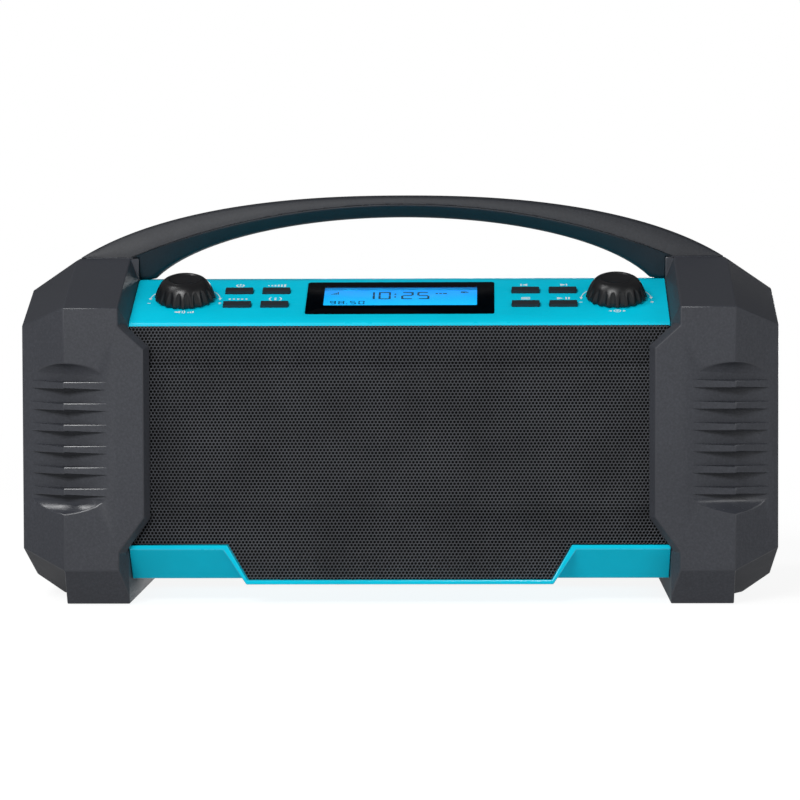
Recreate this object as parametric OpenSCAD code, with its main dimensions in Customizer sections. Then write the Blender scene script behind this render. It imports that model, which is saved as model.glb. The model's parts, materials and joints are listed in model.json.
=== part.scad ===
// Jobsite radio: a housing with a sloped control panel, held between two faceted end caps
// that an arched carrying handle joins. The front faces -Y, +Z is up, and the origin lies on
// the floor under the middle of the radio. All sizes are in millimetres.

/* [Overall] */
// Width over the two end caps
body_w = 400; // [390:1:420]
// Depth over the end caps
body_d = 180; // [174:1:190]
// Height of the top edge of the caps' front faces
face_top = 157.5; // [154:0.5:164]
// Slope of the control panel and of the caps' shoulders, in degrees
slope = 20; // [18:0.5:21]
// Gap left between the large mouldings
seam_gap = 0.3; // [0.2:0.05:0.5]

/* [End caps] */
// Width of one end cap
cap_w = 57; // [56:0.5:60]
// Width across the front view of the cap's slanted outer facet
facet_w = 23.7; // [20:0.1:26]
// How far the slanted outer facet runs back
facet_d = 17; // [14:0.5:20]
// Width of the bevel down the inner edge of the front face
inner_bevel = 4.6; // [4:0.1:6]
// Depth of the same bevel where it runs along the shoulder
shoulder_bevel = 11; // [9:0.5:12]
// Height lost from the front face to the outer corner
corner_drop = 9.7; // [8:0.1:12]
// How far the upper corner facet runs back along the side
corner_run = 49; // [44:1:54]
// Angle of the roof chamfer and of the chamfer under the side, in degrees
roof_angle = 34.5; // [30:0.5:38]
// Height of the tilted foot facet
foot_h = 19; // [16:0.5:22]
// How far the foot facet tilts back
foot_tilt = 12; // [9:0.5:14]
// Wall of the hollow caps
cap_wall = 4; // [3:0.5:5]
// How far the tab reaches over the grille
tab_w = 13.3; // [11:0.1:14]
// Bevel round the tab
tab_bevel = 3; // [2:0.1:3.5]

/* [Corner grips] */
// Number of ribs left standing in a grip
rib_count = 6; // [4:1:6]
// Spacing of the ribs
rib_pitch = 11.22; // [10:0.02:12]
// Height of one rib
rib_h = 3.7; // [3:0.1:5]
// Height of the top of the highest rib
rib_top = 118.6; // [114:0.2:122]
// Depth of the grip at the corner edge
grip_depth = 7; // [5:0.1:7.6]
// Height of the scoop above the ribs
scoop_up = 9.6; // [7:0.1:12]
// Height of the scoop below the ribs
scoop_down = 10.2; // [7:0.1:12]

/* [Housing] */
// Wall of the housing mouldings
wall = 3; // [2.5:0.1:3.5]
// How far the grille plate is set back from the caps' front faces
front_set = 10.5; // [10:0.1:12]
// How far the panel lies below the caps' shoulders
panel_sink = 11.9; // [10:0.1:14]
// Half depth of the level deck under the handle
deck_half = 19.5; // [18:0.5:22]
// Clearance between the floor and the housing
ground_clear = 12.8; // [11:0.2:14]
// Chamfer along the lower front and rear edges
low_chamfer = 16.7; // [15:0.1:18]
// How far the rim of the grille's tongue hangs below the housing
tongue_drop = 1.8; // [1:0.1:2.4]
// Width of the rim round the lower edge of the grille
rim_w = 2.5; // [2:0.1:3]
// How far the rim stands in front of the grille plate
rim_t = 3; // [2.5:0.1:3.5]

/* [Grille] */
// Thickness of the grille sheet
sheet_t = 1; // [0.8:0.1:1.2]
// How far the middle of the sheet is pressed forward
sheet_bow = 3.5; // [2.5:0.1:4]
// Distance from the sheet's top edge to the upper crease
crease_top = 23.4; // [18:0.2:30]
// Distance between the two creases
crease_pitch = 72.5; // [60:0.5:80]
// Half width of the tongue at its root
tongue_root = 90.7; // [84:0.1:96]
// Half width of the tongue at its tip
tongue_tip = 80.1; // [76:0.1:84]

/* [Handle] */
// Height of the top of the handle
handle_crown = 216.8; // [214:0.2:224]
// Thickness of the upper shell at the crown
shell_t = 5; // [4:0.1:7]
// Thickness of the grip at the crown
grip_t = 6.9; // [5:0.1:8]
// Lean of the handle's front and rear faces, in degrees
handle_lean = 10; // [6:0.5:12]
// Horizontal run of the caps' shoulders up to the handle
shoulder_run = 70; // [68.5:0.5:71]

/* [Display] */
// Distance from the panel's front edge to the lens
lens_v = 11.7; // [10:0.1:14]
// Distance from the lens to the panel's rear edge
lens_rear = 5; // [4:0.1:8]
// Distance from the lens to the buttons beside it
lens_space = 9.4; // [8:0.1:11]
// Thickness of the lens
lens_t = 1.2; // [1:0.1:1.5]
// Width of the border beside the window
window_side = 9.2; // [7:0.1:11]
// Width of the border in front of the window
window_front = 12.5; // [10:0.1:14]
// Width of the border behind the window
window_rear = 6.2; // [5:0.1:9]

/* [Buttons] */
// Width of a button
button_w = 14.8; // [13:0.1:16]
// Depth of a button along the slope
button_h = 6.2; // [5:0.1:7]
// How far a button stands above the panel
button_proud = 1.5; // [1.2:0.1:2]
// Travel of a button
button_travel = 0.8; // [0.5:0.05:1]
// Gap between two buttons of a row
button_space = 5.2; // [4:0.1:7]
// Distance from the middle of the knobs forward to the front row
row_drop = 9.3; // [8:0.1:11]
// Spacing of the two rows
row_pitch = 20.2; // [17:0.2:21]
// Clearance round a button in its slot
button_gap = 0.25; // [0.2:0.05:0.4]

/* [Knobs] */
// Radius of a knob's skirt
knob_r = 16.3; // [14:0.1:16.8]
// Height of a knob above the panel
knob_h = 12; // [11:0.1:14]
// Radius of a knob's top
knob_top_r = 9.4; // [8:0.1:10.5]
// Distance from the end of the panel to a knob's middle
knob_side = 27.3; // [26:0.1:29]
// Distance from a knob's skirt to the buttons beside it
knob_space = 4.7; // [4:0.1:7]
// Distance from the middle of the slope up to the knobs
knob_up = 2; // [0:0.1:3]
// Number of flutes round a knob
flute_count = 20; // [16:1:24]
// Radius of a flute
flute_r = 1.9; // [1.5:0.1:2.2]
// Radius of the encoder shafts
shaft_r = 3; // [2.5:0.1:3.2]
// Push travel of a knob
knob_travel = 0.8; // [0.5:0.05:0.9]

/* [Speakers] */
// Distance from the end of the housing to a speaker's middle
speaker_side = 70.7; // [66:0.1:76]
// Height of the speakers' centres
speaker_z = 88; // [82:0.5:94]
// Radius of the opening in front of a speaker
speaker_hole_r = 37; // [36:0.2:38]
// Radius of a cone's front edge
cone_r = 28.7; // [27:0.1:29]
// Radius of a magnet
magnet_r = 25; // [22:0.5:28]

/* [Aerial and sockets] */
// Length of the aerial from its pivot
aerial_l = 195; // [170:1:200]
// Radius of the aerial at its root
aerial_r = 4.3; // [3.8:0.1:4.4]
// Distance from the end of the cover to the aerial's pivot
aerial_side = 24.7; // [22:0.1:28]
// Height of the aerial's pivot
aerial_z = 132; // [128:0.5:134]
// Radius of the audio socket's bore
audio_r = 1.8; // [1.75:0.01:1.85]
// Radius of the power socket's bore
power_r = 2.8; // [2.5:0.05:3]
// Width of the socket recess
recess_w = 56; // [52:0.5:60]
// Height of the socket recess
recess_h = 30; // [26:0.5:34]
// Thickness of the rubber socket cover
cover_t = 3; // [2.4:0.1:3.4]

/* [Battery] */
// Width of the battery pack
pack_w = 104; // [90:1:110]
// Height of the battery pack
pack_h = 52; // [44:1:56]
// Depth of the battery pack
pack_d = 38; // [32:1:42]

/* [Fasteners] */
// Radius of the large screws
screw_r = 2; // [1.8:0.1:2.2]
// Radius of the small screws
small_r = 1.5; // [1.3:0.1:1.6]

/* [Hidden] */
$fn = 64;
eps = 0.01;
fit = 0.05;
far = 600;

// Main planes of the radio
half_w = body_w / 2;
half_d = body_d / 2;
cap_x = half_w - cap_w;
side_x = cap_x - seam_gap;
facet_x = half_w - facet_w;
column_x = cap_x + inner_bevel;
bevel_slope = 2;
seam_y = half_d - shoulder_run;
seam_z = face_top + shoulder_run * tan(slope);
plate_y = half_d - front_set;
panel_z = face_top + front_set * tan(slope) - panel_sink;
deck_z = panel_z + (plate_y - deck_half) * tan(slope);
panel_len = (plate_y - deck_half) / cos(slope);
roof_z = face_top - corner_drop + corner_run * tan(slope);
pad_proud = 0.5;

// Places along the panel: knobs from its ends, then the buttons, and the lens between them
knob_x = side_x - knob_side;
knob_v = panel_len / 2 + knob_up;
button_pitch = button_w + button_space;
button_x = knob_x - knob_r - knob_space - button_w / 2 - button_pitch;
button_v = knob_v - row_drop;
lens_w = 2 * (button_x - button_w / 2 - lens_space);
lens_h = panel_len - lens_v - lens_rear;
window_w = lens_w - 2 * window_side;
window_h = lens_h - window_front - window_rear;
window_v = lens_v + window_front + window_h / 2;
speaker_x = side_x - speaker_side;
aerial_x = side_x - aerial_side;

// Plane through three points; what lies on the side its normal points to is cut away
module cut_beyond(p, q, r, inset = 0) {
    n = cross(q - p, r - p);
    u = n / norm(n);
    translate(p - u * inset)
        rotate([0, acos(u.z), atan2(u.y, u.x)])
            translate([-far / 2, -far / 2, 0])
                cube([far, far, far]);
}

// Extrudes a profile drawn in the Y-Z plane along X, centred
module along_x(length) {
    rotate([90, 0, 90])
        linear_extrude(length, center = true)
            children();
}

// Extrudes a profile drawn in the X-Z plane from y0 to y1
module along_y(y0, y1) {
    translate([0, y1, 0])
        rotate([90, 0, 0])
            linear_extrude(y1 - y0)
                children();
}

// Round bar along Y from y0 to y1
module bar_y(r, y0, y1) {
    translate([0, y1, 0])
        rotate([90, 0, 0])
            cylinder(r = r, h = y1 - y0);
}

// Rectangle with round corners, centred
module round_rect(w, h, r) {
    square([w - 2 * r, h], center = true);
    square([w, h - 2 * r], center = true);
    for (x = [-1, 1], y = [-1, 1])
        translate([x * (w / 2 - r), y * (h / 2 - r)])
            circle(r, $fn = 32);
}

// Screw with its head's seat at the origin and its shank along +Z
module screw(r, length, head_r, head_h) {
    cylinder(r = r, h = length);
    difference() {
        translate([0, 0, -head_h])
            cylinder(r = head_r, h = head_h);
        for (a = [0, 90])
            rotate([0, 0, a])
                translate([-head_r * 0.6, -head_r * 0.12, -head_h - eps])
                    cube([head_r * 1.2, head_r * 0.24, head_h * 0.5]);
    }
}

// Loft through rings of points that all have the same count
module loft(rings) {
    n = len(rings[0]);
    m = len(rings);
    points = [for (ring = rings) each ring];
    sides = [for (i = [0:m - 2], j = [0:n - 1]) each [
        [i * n + j, (i + 1) * n + (j + 1) % n, (i + 1) * n + j],
        [i * n + j, i * n + (j + 1) % n, (i + 1) * n + (j + 1) % n]
    ]];
    ends = [[for (j = [n - 1:-1:0]) j], [for (j = [0:n - 1]) (m - 1) * n + j]];
    polyhedron(points, concat(sides, ends));
}

// ---------------------------------------------------------------- end caps

low_corner_run = 56;
low_corner_rise = 10.5;
side_low = 11;
tab_t = front_set - sheet_t - sheet_bow - seam_gap;
tab_top = face_top - 9.9;
tab_low = 28.8;
tab_cut_top = 12;
tab_cut_low = 18.2;
post_r = 5;
cap_posts_y = [-50, 52];
cap_posts_z = [60, 114];
handle_post_y = seam_y * 0.5;
handle_post_x = cap_x + 16;
pad_w = 22;
pad_l = 32;
pad_y = 56;
pad_x = (cap_x + facet_x) / 2;
pad_sink = 1.5;

// Outer form of the right cap without its inner bevel, tab and grips, all planes moved in by inset
module cap_block(inset) {
    run_z = (half_d + far) * tan(slope);
    low_z = foot_h + low_corner_rise;
    difference() {
        translate([cap_x + inset, -half_d + inset, pad_proud + inset])
            cube([cap_w - 2 * inset, body_d - 2 * inset, seam_z - pad_proud - 2 * inset]);
        for (s = [-1, 1])
            scale_y(s) {
                // sloped shoulder
                cut_beyond([0, -half_d, face_top], [1, -half_d, face_top],
                    [0, -half_d + 1, face_top + tan(slope)], inset);
                // slanted outer facet
                cut_beyond([facet_x, -half_d, 0], [half_w, -half_d + facet_d, 0],
                    [facet_x, -half_d, 1], inset);
                // upper corner facet
                cut_beyond([facet_x, -half_d, face_top],
                    [half_w, -half_d + facet_d, face_top - corner_drop],
                    [half_w, -half_d + facet_d + corner_run, roof_z], inset);
                // foot facet
                cut_beyond([0, -half_d + foot_tilt, 0], [1, -half_d + foot_tilt, 0],
                    [0, -half_d, foot_h], inset);
                // lower corner facet, which stops at the side of the foot
                intersection() {
                    cut_beyond([facet_x, -half_d, foot_h],
                        [half_w, -half_d + facet_d + low_corner_run, side_low],
                        [half_w, -half_d + facet_d, low_z], inset);
                    translate([inset > 0 ? 0 : facet_x, -far / 2, -far / 2])
                        cube([far, far, far]);
                }
            }
        // roof chamfer and the chamfer under the side
        cut_beyond([half_w, 0, roof_z], [half_w, 1, roof_z],
            [half_w - 1, 0, roof_z + tan(roof_angle)], inset);
        cut_beyond([half_w, 0, side_low], [half_w - 1, 0, side_low - tan(roof_angle)],
            [half_w, 1, side_low], inset);
    }
}

// Mirrors front to back when s is 1, and leaves the part alone when it is -1
module scale_y(s) {
    mirror([0, s > 0 ? 1 : 0, 0])
        children();
}

// Bevel down the inner edge of the cap's front face
module inner_bevel_cut(inset = 0) {
    cut_beyond([column_x, -half_d, 0], [column_x, -half_d, 1],
        [cap_x, -half_d + inner_bevel * bevel_slope, 0], inset);
}

// The same bevel along the shoulder, which stops at the handle
module shoulder_bevel_cut(inset = 0) {
    run = inset > 0 ? far : far / 2 - seam_y;
    intersection() {
        cut_beyond([column_x, -half_d, face_top], [column_x, -half_d + 1, face_top + tan(slope)],
            [cap_x, -half_d, face_top - shoulder_bevel / cos(slope)], inset);
        translate([0, -far / 2, 0])
            cube([far, run, far]);
    }
}

// Tab that reaches over the end of the grille, with bevelled edges
module cap_tab() {
    tip_x = column_x - tab_w;
    root_x = column_x + 6;
    back_y = -half_d + tab_t;
    difference() {
        translate([tip_x - tab_bevel, -half_d, tab_low - 10])
            cube([root_x - tip_x + tab_bevel, tab_t, tab_top - tab_low + 14]);
        cut_beyond([tip_x, -half_d, 0], [tip_x, -half_d, 1], [tip_x - tab_bevel, back_y, 0]);
        cut_beyond([column_x, -half_d, tab_top],
            [column_x - tab_bevel * 0.7, back_y, tab_top + tab_bevel * 0.7],
            [tip_x, -half_d, tab_top - tab_cut_top]);
        cut_beyond([tip_x, -half_d, tab_low + tab_cut_low],
            [tip_x - tab_bevel * 0.8, back_y, tab_low + tab_cut_low - tab_bevel * 0.6],
            [column_x, -half_d, tab_low]);
    }
}

// Frame on the corner edge of the cap, with +Y pointing into the cap
module at_corner() {
    translate([facet_x, -half_d, 0])
        rotate([0, 0, atan2(facet_d, facet_w) / 2])
            children();
}

// Space that a grip takes out of the corner; the ribs stay standing in it
module grip_cut() {
    steps = 6;
    low_z = rib_top - (rib_count - 1) * rib_pitch - rib_h;
    upper = [for (i = [0:steps]) let (a = 90 * i / steps)
        [grip_depth * sin(a), rib_top + scoop_up * cos(a)]];
    lower = [for (i = [0:steps]) let (a = 90 - 60 * i / steps)
        [grip_depth * (sin(a) - 0.5) * 2, low_z - scoop_down * cos(a) / cos(30)]];
    at_corner()
        difference() {
            along_x(80)
                polygon(concat([[-10, rib_top + scoop_up]], upper, lower,
                    [[-10, low_z - scoop_down]]));
            for (i = [0:rib_count - 1])
                translate([-45, -12, rib_top - i * rib_pitch - rib_h])
                    cube([90, 30, rib_h]);
        }
}

// Posts inside the cap that the housing's screws go into
module cap_posts() {
    for (y = cap_posts_y, z = cap_posts_z)
        translate([cap_x, y, z])
            rotate([0, 90, 0])
                cylinder(r = post_r, h = cap_w - cap_wall / 2);
}

// Opening through the cap's inner side, kept inside the housing's section
module cap_opening() {
    open_y = plate_y - 2 * wall;
    open_z = ground_clear + low_chamfer;
    translate([cap_x - 1, -open_y, open_z])
        cube([cap_wall + 2, 2 * open_y, panel_z - 2 * wall - open_z]);
}

// Space inside the right cap
module cap_hollow() {
    difference() {
        cap_block(cap_wall);
        for (s = [-1, 1])
            scale_y(s) {
                at_corner()
                    translate([-45, -20, 0])
                        cube([90, 20 + grip_depth + cap_wall, far]);
                inner_bevel_cut(cap_wall);
                shoulder_bevel_cut(cap_wall);
            }
    }
    cap_opening();
}

// Right end cap, a hollow moulding whose inner side opens into the housing
module cap_moulding() {
    difference() {
        union() {
            difference() {
                cap_block(0);
                difference() {
                    cap_hollow();
                    cap_posts();
                }
                for (s = [-1, 1])
                    scale_y(s) {
                        inner_bevel_cut();
                        shoulder_bevel_cut();
                    }
            }
            cap_tab();
        }
        for (s = [-1, 1])
            scale_y(s)
                grip_cut();
        for (y = cap_posts_y, z = cap_posts_z)
            translate([cap_x - eps, y, z])
                rotate([0, 90, 0])
                    cylinder(r = screw_r + fit, h = 12);
        for (s = [-1, 1])
            translate([handle_post_x, s * handle_post_y, seam_z - cap_wall - 1])
                cylinder(r = screw_r + fit, h = cap_wall + 2);
        for (s = [-1, 1])
            translate([pad_x - pad_w / 2, s * pad_y - pad_l / 2, 0])
                cube([pad_w, pad_l, pad_proud + pad_sink]);
    }
}

module left_end_cap() {
    color([0.25, 0.26, 0.28])
        mirror([1, 0, 0])
            cap_moulding();
}

module right_end_cap() {
    color([0.25, 0.26, 0.28])
        cap_moulding();
}

// Rubber pads let into the caps' soles
module foot_pads() {
    color([0.1, 0.1, 0.1])
        for (x = [-pad_x, pad_x], y = [-pad_y, pad_y])
            translate([x, y, 0])
                linear_extrude(pad_proud + pad_sink)
                    round_rect(pad_w - 2 * seam_gap, pad_l - 2 * seam_gap, 3);
}

// ---------------------------------------------------------------- handle

// Arch of a given half span that passes through the height end_z at end_x; an ellipse where the
// power is 2, and flatter at its crown where it is more
function arch_drop(t, power) = 1 - sqrt(max(0, 1 - pow(abs(t), power)));
function arch(x, crown, half, end_x, end_z, power = 2) =
    crown - (crown - end_z) * arch_drop(x / half, power) / arch_drop(end_x / half, power);

shell_end = half_w - (seam_z - roof_z) / tan(roof_angle) - 0.6;
ridge_end = column_x;
belly_end = cap_x - 6.8;
grip_end = side_x;
function top_z(x) = arch(x, handle_crown, half_w, shell_end, seam_z + 0.5, 2.3);
function ridge_z(x) = max(seam_z, arch(x, handle_crown - shell_t, half_w * 1.5, ridge_end, seam_z));
function belly_z(x) = max(deck_z,
    arch(min(abs(x), cap_x), handle_crown - shell_t - grip_t, cap_x + 0.8, belly_end, deck_z));

// How far the handle's screws reach into the shell, which stays closed over them
handle_bite = top_z(handle_post_x) - seam_z - 3;

// Half depth of the handle at a height, with its faces leaning in
function handle_y(z) = seam_y - (z - seam_z) * tan(handle_lean);

grip_steps = 16;
grip_stations = [for (i = [-grip_steps:grip_steps]) i * grip_end / grip_steps];
end_stations = [for (i = [0:3]) ridge_end + (shell_end - ridge_end) * i / 3];
shell_stations = concat([for (i = [3:-1:0]) -end_stations[i]], grip_stations, end_stations);

// Section of the upper shell
function shell_ring(x) =
    let (zr = ridge_z(x), zt = top_z(x), e = min(1.6, (zt - zr) / 3))
    let (half = [[handle_y(zr), zr], [handle_y(zt - e), zt - e], [handle_y(zt) - e * 0.5, zt - e * 0.25],
        [handle_y(zt) - e * 1.6, zt]])
    concat([for (p = half) [x, -p.x, p.y]], [for (i = [3:-1:0]) [x, half[i].x, half[i].y]]);

// Section of the grip, which bellies down between the two lower edges of the shell
function grip_ring(x) =
    let (zr = ridge_z(x), zb = belly_z(x), yr = handle_y(zr), d = zr - zb)
    let (yb = 3 + 9 * pow(x / grip_end, 2))
    let (half = [[yr, zr], [yr - 0.6, zr - min(1.2, d / 4)], [yr + (yb - yr) * 0.55, zb + d * 0.3],
        [yr + (yb - yr) * 0.85, zb + d * 0.06], [yb * 0.5, zb]])
    concat([for (p = half) [x, p.x, p.y]], [for (i = [4:-1:0]) [x, -half[i].x, half[i].y]]);

module handle_upper() {
    color([0.24, 0.24, 0.26])
        difference() {
            loft([for (x = shell_stations) shell_ring(x)]);
            for (x = [-handle_post_x, handle_post_x], y = [-handle_post_y, handle_post_y])
                translate([x, y, seam_z - eps])
                    cylinder(r = screw_r + fit, h = handle_bite + 0.5);
        }
}

// Wedge at the right end of the grip, which rests on the cap under the shell
module grip_tip() {
    end_z = ridge_z(grip_end);
    tip = 0.6;
    tip_z = seam_z + (end_z - seam_z) * tip / (ridge_end - grip_end);
    loft([for (p = [[grip_end - 4, end_z - 0.1], [grip_end - 0.5, end_z - 0.1],
            [ridge_end - tip, tip_z]])
        let (y = handle_y(p.y) - 1)
        [[p.x, y, p.y], [p.x, y, seam_z], [p.x, -y, seam_z], [p.x, -y, p.y]]]);
}

module handle_grip() {
    color([0.13, 0.14, 0.16]) {
        loft([for (x = grip_stations) grip_ring(x)]);
        grip_tip();
        mirror([1, 0, 0])
            grip_tip();
    }
}

// ---------------------------------------------------------------- housing

grille_gap = 0.3;
nose_r = 2;
case_post_x = side_x - wall - 4.7;
case_post_z = [ground_clear + low_chamfer + 8, 88, 138];
case_post_r = 5;
well_r = 4;
board_w = 1.6;
panel_t = wall;
board_top = -12.4;
board_v = 5.5;
board_rear = 9;
stand_r = 3;
stand_in = knob_x - 15.4;
stand_mid = lens_w / 2 + 3.8;
panel_stand_x = [-stand_in, -stand_mid, stand_mid, stand_in];
panel_stand_v = board_v + 4;
speaker_seat = 4;
seat_y = -plate_y + wall + speaker_seat;
ear = 35;
boss_r = 3.6;
floor_z = ground_clear + wall;
main_stand_x = side_x - 50.7;
main_stand_y = [-46, 8];
main_board_z = floor_z + 6;

// Outline of the grille's opening, made larger by grow
module grille_outline(grow) {
    low_z = ground_clear - tongue_drop + rim_w - grow;
    root_z = ground_clear + low_chamfer + rim_w - grow;
    w = side_x - 1 + grow;
    g = grow * 0.8;
    polygon([[-w, root_z], [-tongue_root - g, root_z], [-tongue_tip - g, low_z],
        [tongue_tip + g, low_z], [tongue_root + g, root_z], [w, root_z],
        [w, panel_z - 1.8 + grow], [-w, panel_z - 1.8 + grow]]);
}

// Side profile of the housing in front of y1, all faces moved in by inset
module front_profile(y1, inset) {
    chamfer_in = inset * sqrt(2);
    foot_y = -plate_y - rim_t + low_chamfer;
    z0 = ground_clear + inset;
    nose = panel_z - inset / cos(slope) + inset * tan(slope);
    deck_front = -deck_half + inset * tan(slope / 2);
    rim_z = ground_clear + low_chamfer + rim_w;
    polygon(inset > 0
        ? [[-plate_y + inset, nose], [deck_front, deck_z - inset], [y1 + 1, deck_z - inset],
            [y1 + 1, z0], [foot_y + chamfer_in - inset, z0],
            [-plate_y + inset, ground_clear + low_chamfer - rim_t + chamfer_in - inset]]
        : [[-plate_y, panel_z - nose_r], [-plate_y + nose_r * 0.3, panel_z - nose_r * 0.2],
            [-plate_y + nose_r, panel_z + nose_r * tan(slope)],
            [-deck_half - 1.5, deck_z - 1.5 * tan(slope)], [-deck_half + 1.5, deck_z],
            [y1, deck_z], [y1, ground_clear], [foot_y, ground_clear],
            [-plate_y - rim_t, ground_clear + low_chamfer], [-plate_y - rim_t, rim_z],
            [-plate_y, rim_z]]);
}

// Frame of the control panel: X along it, Y up the slope from its front edge, Z out of it
module on_panel() {
    translate([0, -plate_y, panel_z])
        rotate([slope, 0, 0])
            children();
}

// Frame of a speaker: its flange's front face at the origin and +Z towards the front
module at_speaker(side) {
    translate([side * speaker_x, seat_y + 1, speaker_z])
        rotate([90, 0, 0])
            children();
}

module at_ears() {
    for (x = [-ear, ear], y = [-ear, ear])
        translate([x, y, 0])
            children();
}

// Places of the buttons: side of the panel, column and row
function button_pos(side, column, row) =
    [side * (button_x + column * button_pitch), button_v + row * row_pitch];
button_places = [for (side = [-1, 1], column = [0, 1], row = [0, 1]) button_pos(side, column, row)];

module front_housing() {
    color([0.03, 0.66, 0.78])
        difference() {
            union() {
                difference() {
                    union() {
                        along_x(2 * side_x)
                            front_profile(deck_half, 0);
                        tongue_block();
                    }
                    along_x(2 * (side_x - wall))
                        front_profile(deck_half, wall);
                    along_y(-plate_y - rim_t - 1, -plate_y)
                        grille_outline(grille_gap);
                }
                front_bosses();
            }
            for (side = [-1, 1])
                at_speaker(side) {
                    translate([0, 0, -1])
                        cylinder(r = speaker_hole_r, h = 20);
                    at_ears()
                        translate([0, 0, 1 - eps - 1.5])
                            cylinder(r = small_r + fit, h = speaker_seat + 3);
                }
            on_panel()
                panel_cuts();
            for (x = [-case_post_x, case_post_x], z = case_post_z)
                translate([x, 0, z])
                    bar_y(screw_r + fit, deck_half - 14, deck_half + 1);
            for (x = [-main_stand_x, main_stand_x], y = main_stand_y)
                translate([x, y, main_board_z - 5])
                    cylinder(r = small_r + fit, h = 6);
            for (s = [-1, 1], z = cap_posts_z)
                translate([s * side_x, cap_posts_y[0], z])
                    rotate([0, 90, 0])
                        cylinder(r = screw_r + 0.3, h = 4 * wall, center = true);
        }
}

// Block behind the lower tongue of the grille, with the rim round it
module tongue_block() {
    g = rim_w * 0.75;
    top_z = ground_clear + low_chamfer + rim_w;
    low_z = ground_clear - tongue_drop;
    root = tongue_root + g + (tongue_root - tongue_tip) / low_chamfer * rim_w * 0.4;
    along_y(-plate_y - rim_t, -plate_y - rim_t + low_chamfer)
        polygon([[-root, top_z], [-root, top_z - rim_w], [-tongue_tip - g / 2, low_z],
            [tongue_tip + g / 2, low_z], [root, top_z - rim_w], [root, top_z]]);
}

// Bosses inside the front housing
module front_bosses() {
    for (side = [-1, 1])
        at_speaker(side) {
            translate([0, 0, 1])
                cylinder(r = speaker_hole_r + 4, h = speaker_seat + eps);
            at_ears()
                translate([0, 0, 1])
                    cylinder(r = boss_r, h = speaker_seat + eps);
        }
    for (x = [-case_post_x, case_post_x], z = case_post_z)
        translate([x, 0, z])
            bar_y(case_post_r, deck_half - 30, deck_half);
    for (x = [-main_stand_x, main_stand_x], y = main_stand_y)
        translate([x, y, floor_z - eps])
            cylinder(r = boss_r, h = main_board_z - floor_z + eps);
    on_panel()
        for (x = panel_stand_x)
            translate([x, panel_stand_v, board_top])
                cylinder(r = stand_r, h = -board_top - panel_t + eps);
}

// Openings in the control panel, in the panel's frame
module panel_cuts() {
    translate([0, lens_v + lens_h / 2, -lens_t + 0.2])
        linear_extrude(lens_t + 1)
            round_rect(lens_w + 0.4, lens_h + 0.4, 1.8);
    translate([0, window_v, -panel_t - 1])
        linear_extrude(panel_t + 2)
            round_rect(window_w + 2, window_h + 2, 1);
    for (s = [-1, 1])
        translate([s * knob_x, knob_v, -panel_t - 1])
            cylinder(r = shaft_r + 0.6, h = panel_t + 2);
    for (p = button_places)
        translate([p.x, p.y, -panel_t - 1])
            linear_extrude(panel_t + 2)
                round_rect(button_w + 2 * button_gap, button_h + 2 * button_gap, 1);
    for (x = panel_stand_x)
        translate([x, panel_stand_v, board_top - eps])
            cylinder(r = small_r + fit, h = 6);
}

// ---------------------------------------------------------------- rear cover

aerial_y = plate_y + 5.3;
recess_x = -(side_x - 50.7);
recess_z = 56;
recess_d = cover_t + seam_gap;
bay_x = 22;
bay_z = 62;
bay_w = pack_w + 2;
bay_h = pack_h + 2;
bay_t = 2;
door_lap = 5;
door_t = 3;
bay_back = plate_y - door_t - wall;
socket_y = plate_y - recess_d - wall;
socket_depth = 12;
stand_x = recess_w / 2 - 1;
saddle_x = aerial_x - aerial_l + 15;
door_screw_x = bay_w / 2 - 12;

// Side profile of the rear cover
module rear_profile(inset) {
    in45 = inset * (sqrt(2) - 1);
    z0 = ground_clear + inset;
    y0 = deck_half - (inset > 0 ? 1 : 0);
    polygon([[y0, deck_z - inset], [deck_half - inset * tan(slope / 2), deck_z - inset],
        [plate_y - inset, panel_z - inset / cos(slope) + inset * tan(slope)],
        [plate_y - inset, ground_clear + low_chamfer + in45],
        [plate_y - low_chamfer - in45, z0], [y0, z0]]);
}

module rear_cover() {
    color([0.2, 0.21, 0.22])
        difference() {
            union() {
                difference() {
                    along_x(2 * side_x)
                        rear_profile(0);
                    along_x(2 * (side_x - wall))
                        rear_profile(wall);
                }
                rear_bosses();
            }
            // screw wells
            for (x = [-case_post_x, case_post_x], z = case_post_z)
                translate([x, 0, z]) {
                    bar_y(well_r, deck_half + wall, plate_y + 1);
                    bar_y(screw_r + 0.3, deck_half - 1, plate_y);
                }
            // battery bay and its door
            translate([bay_x, 0, bay_z]) {
                along_y(bay_back - pack_d - 1, plate_y + 1)
                    square([bay_w, bay_h], center = true);
                along_y(plate_y - door_t, plate_y + 1)
                    round_rect(bay_w + 2 * door_lap, bay_h + 2 * door_lap, 4);
                for (x = [-door_screw_x, door_screw_x])
                    translate([x, 0, bay_h / 2 + door_lap / 2])
                        bar_y(small_r + fit, plate_y - 11, plate_y);
            }
            // socket recess
            translate([recess_x, 0, recess_z]) {
                along_y(plate_y - recess_d, plate_y + 1) {
                    round_rect(recess_w, recess_h, 3);
                    // square corners beside the cover's hinge edge
                    translate([-recess_w / 2, 0])
                        square([recess_w, recess_h / 2]);
                }
                translate([-16, 0, 0])
                    bar_y(power_r + 1.6, socket_y - 1, plate_y);
                bar_y(audio_r + 1.6, socket_y - 1, plate_y);
                translate([15, 0, 0])
                    along_y(socket_y - 1, plate_y)
                        square([13.6, 6.2], center = true);
                for (x = [-stand_x, stand_x])
                    translate([x, 0, 0])
                        bar_y(small_r + fit, socket_y - socket_depth - 1, socket_y - 4);
            }
            // aerial pivot
            translate([aerial_x, 0, aerial_z])
                bar_y(4 + fit, plate_y - wall - 1, plate_y + 1);
            // holes for the cap screws
            for (s = [-1, 1], z = cap_posts_z)
                translate([s * side_x, cap_posts_y[1], z])
                    rotate([0, 90, 0])
                        cylinder(r = screw_r + 0.3, h = 4 * wall, center = true);
        }
}

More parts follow.
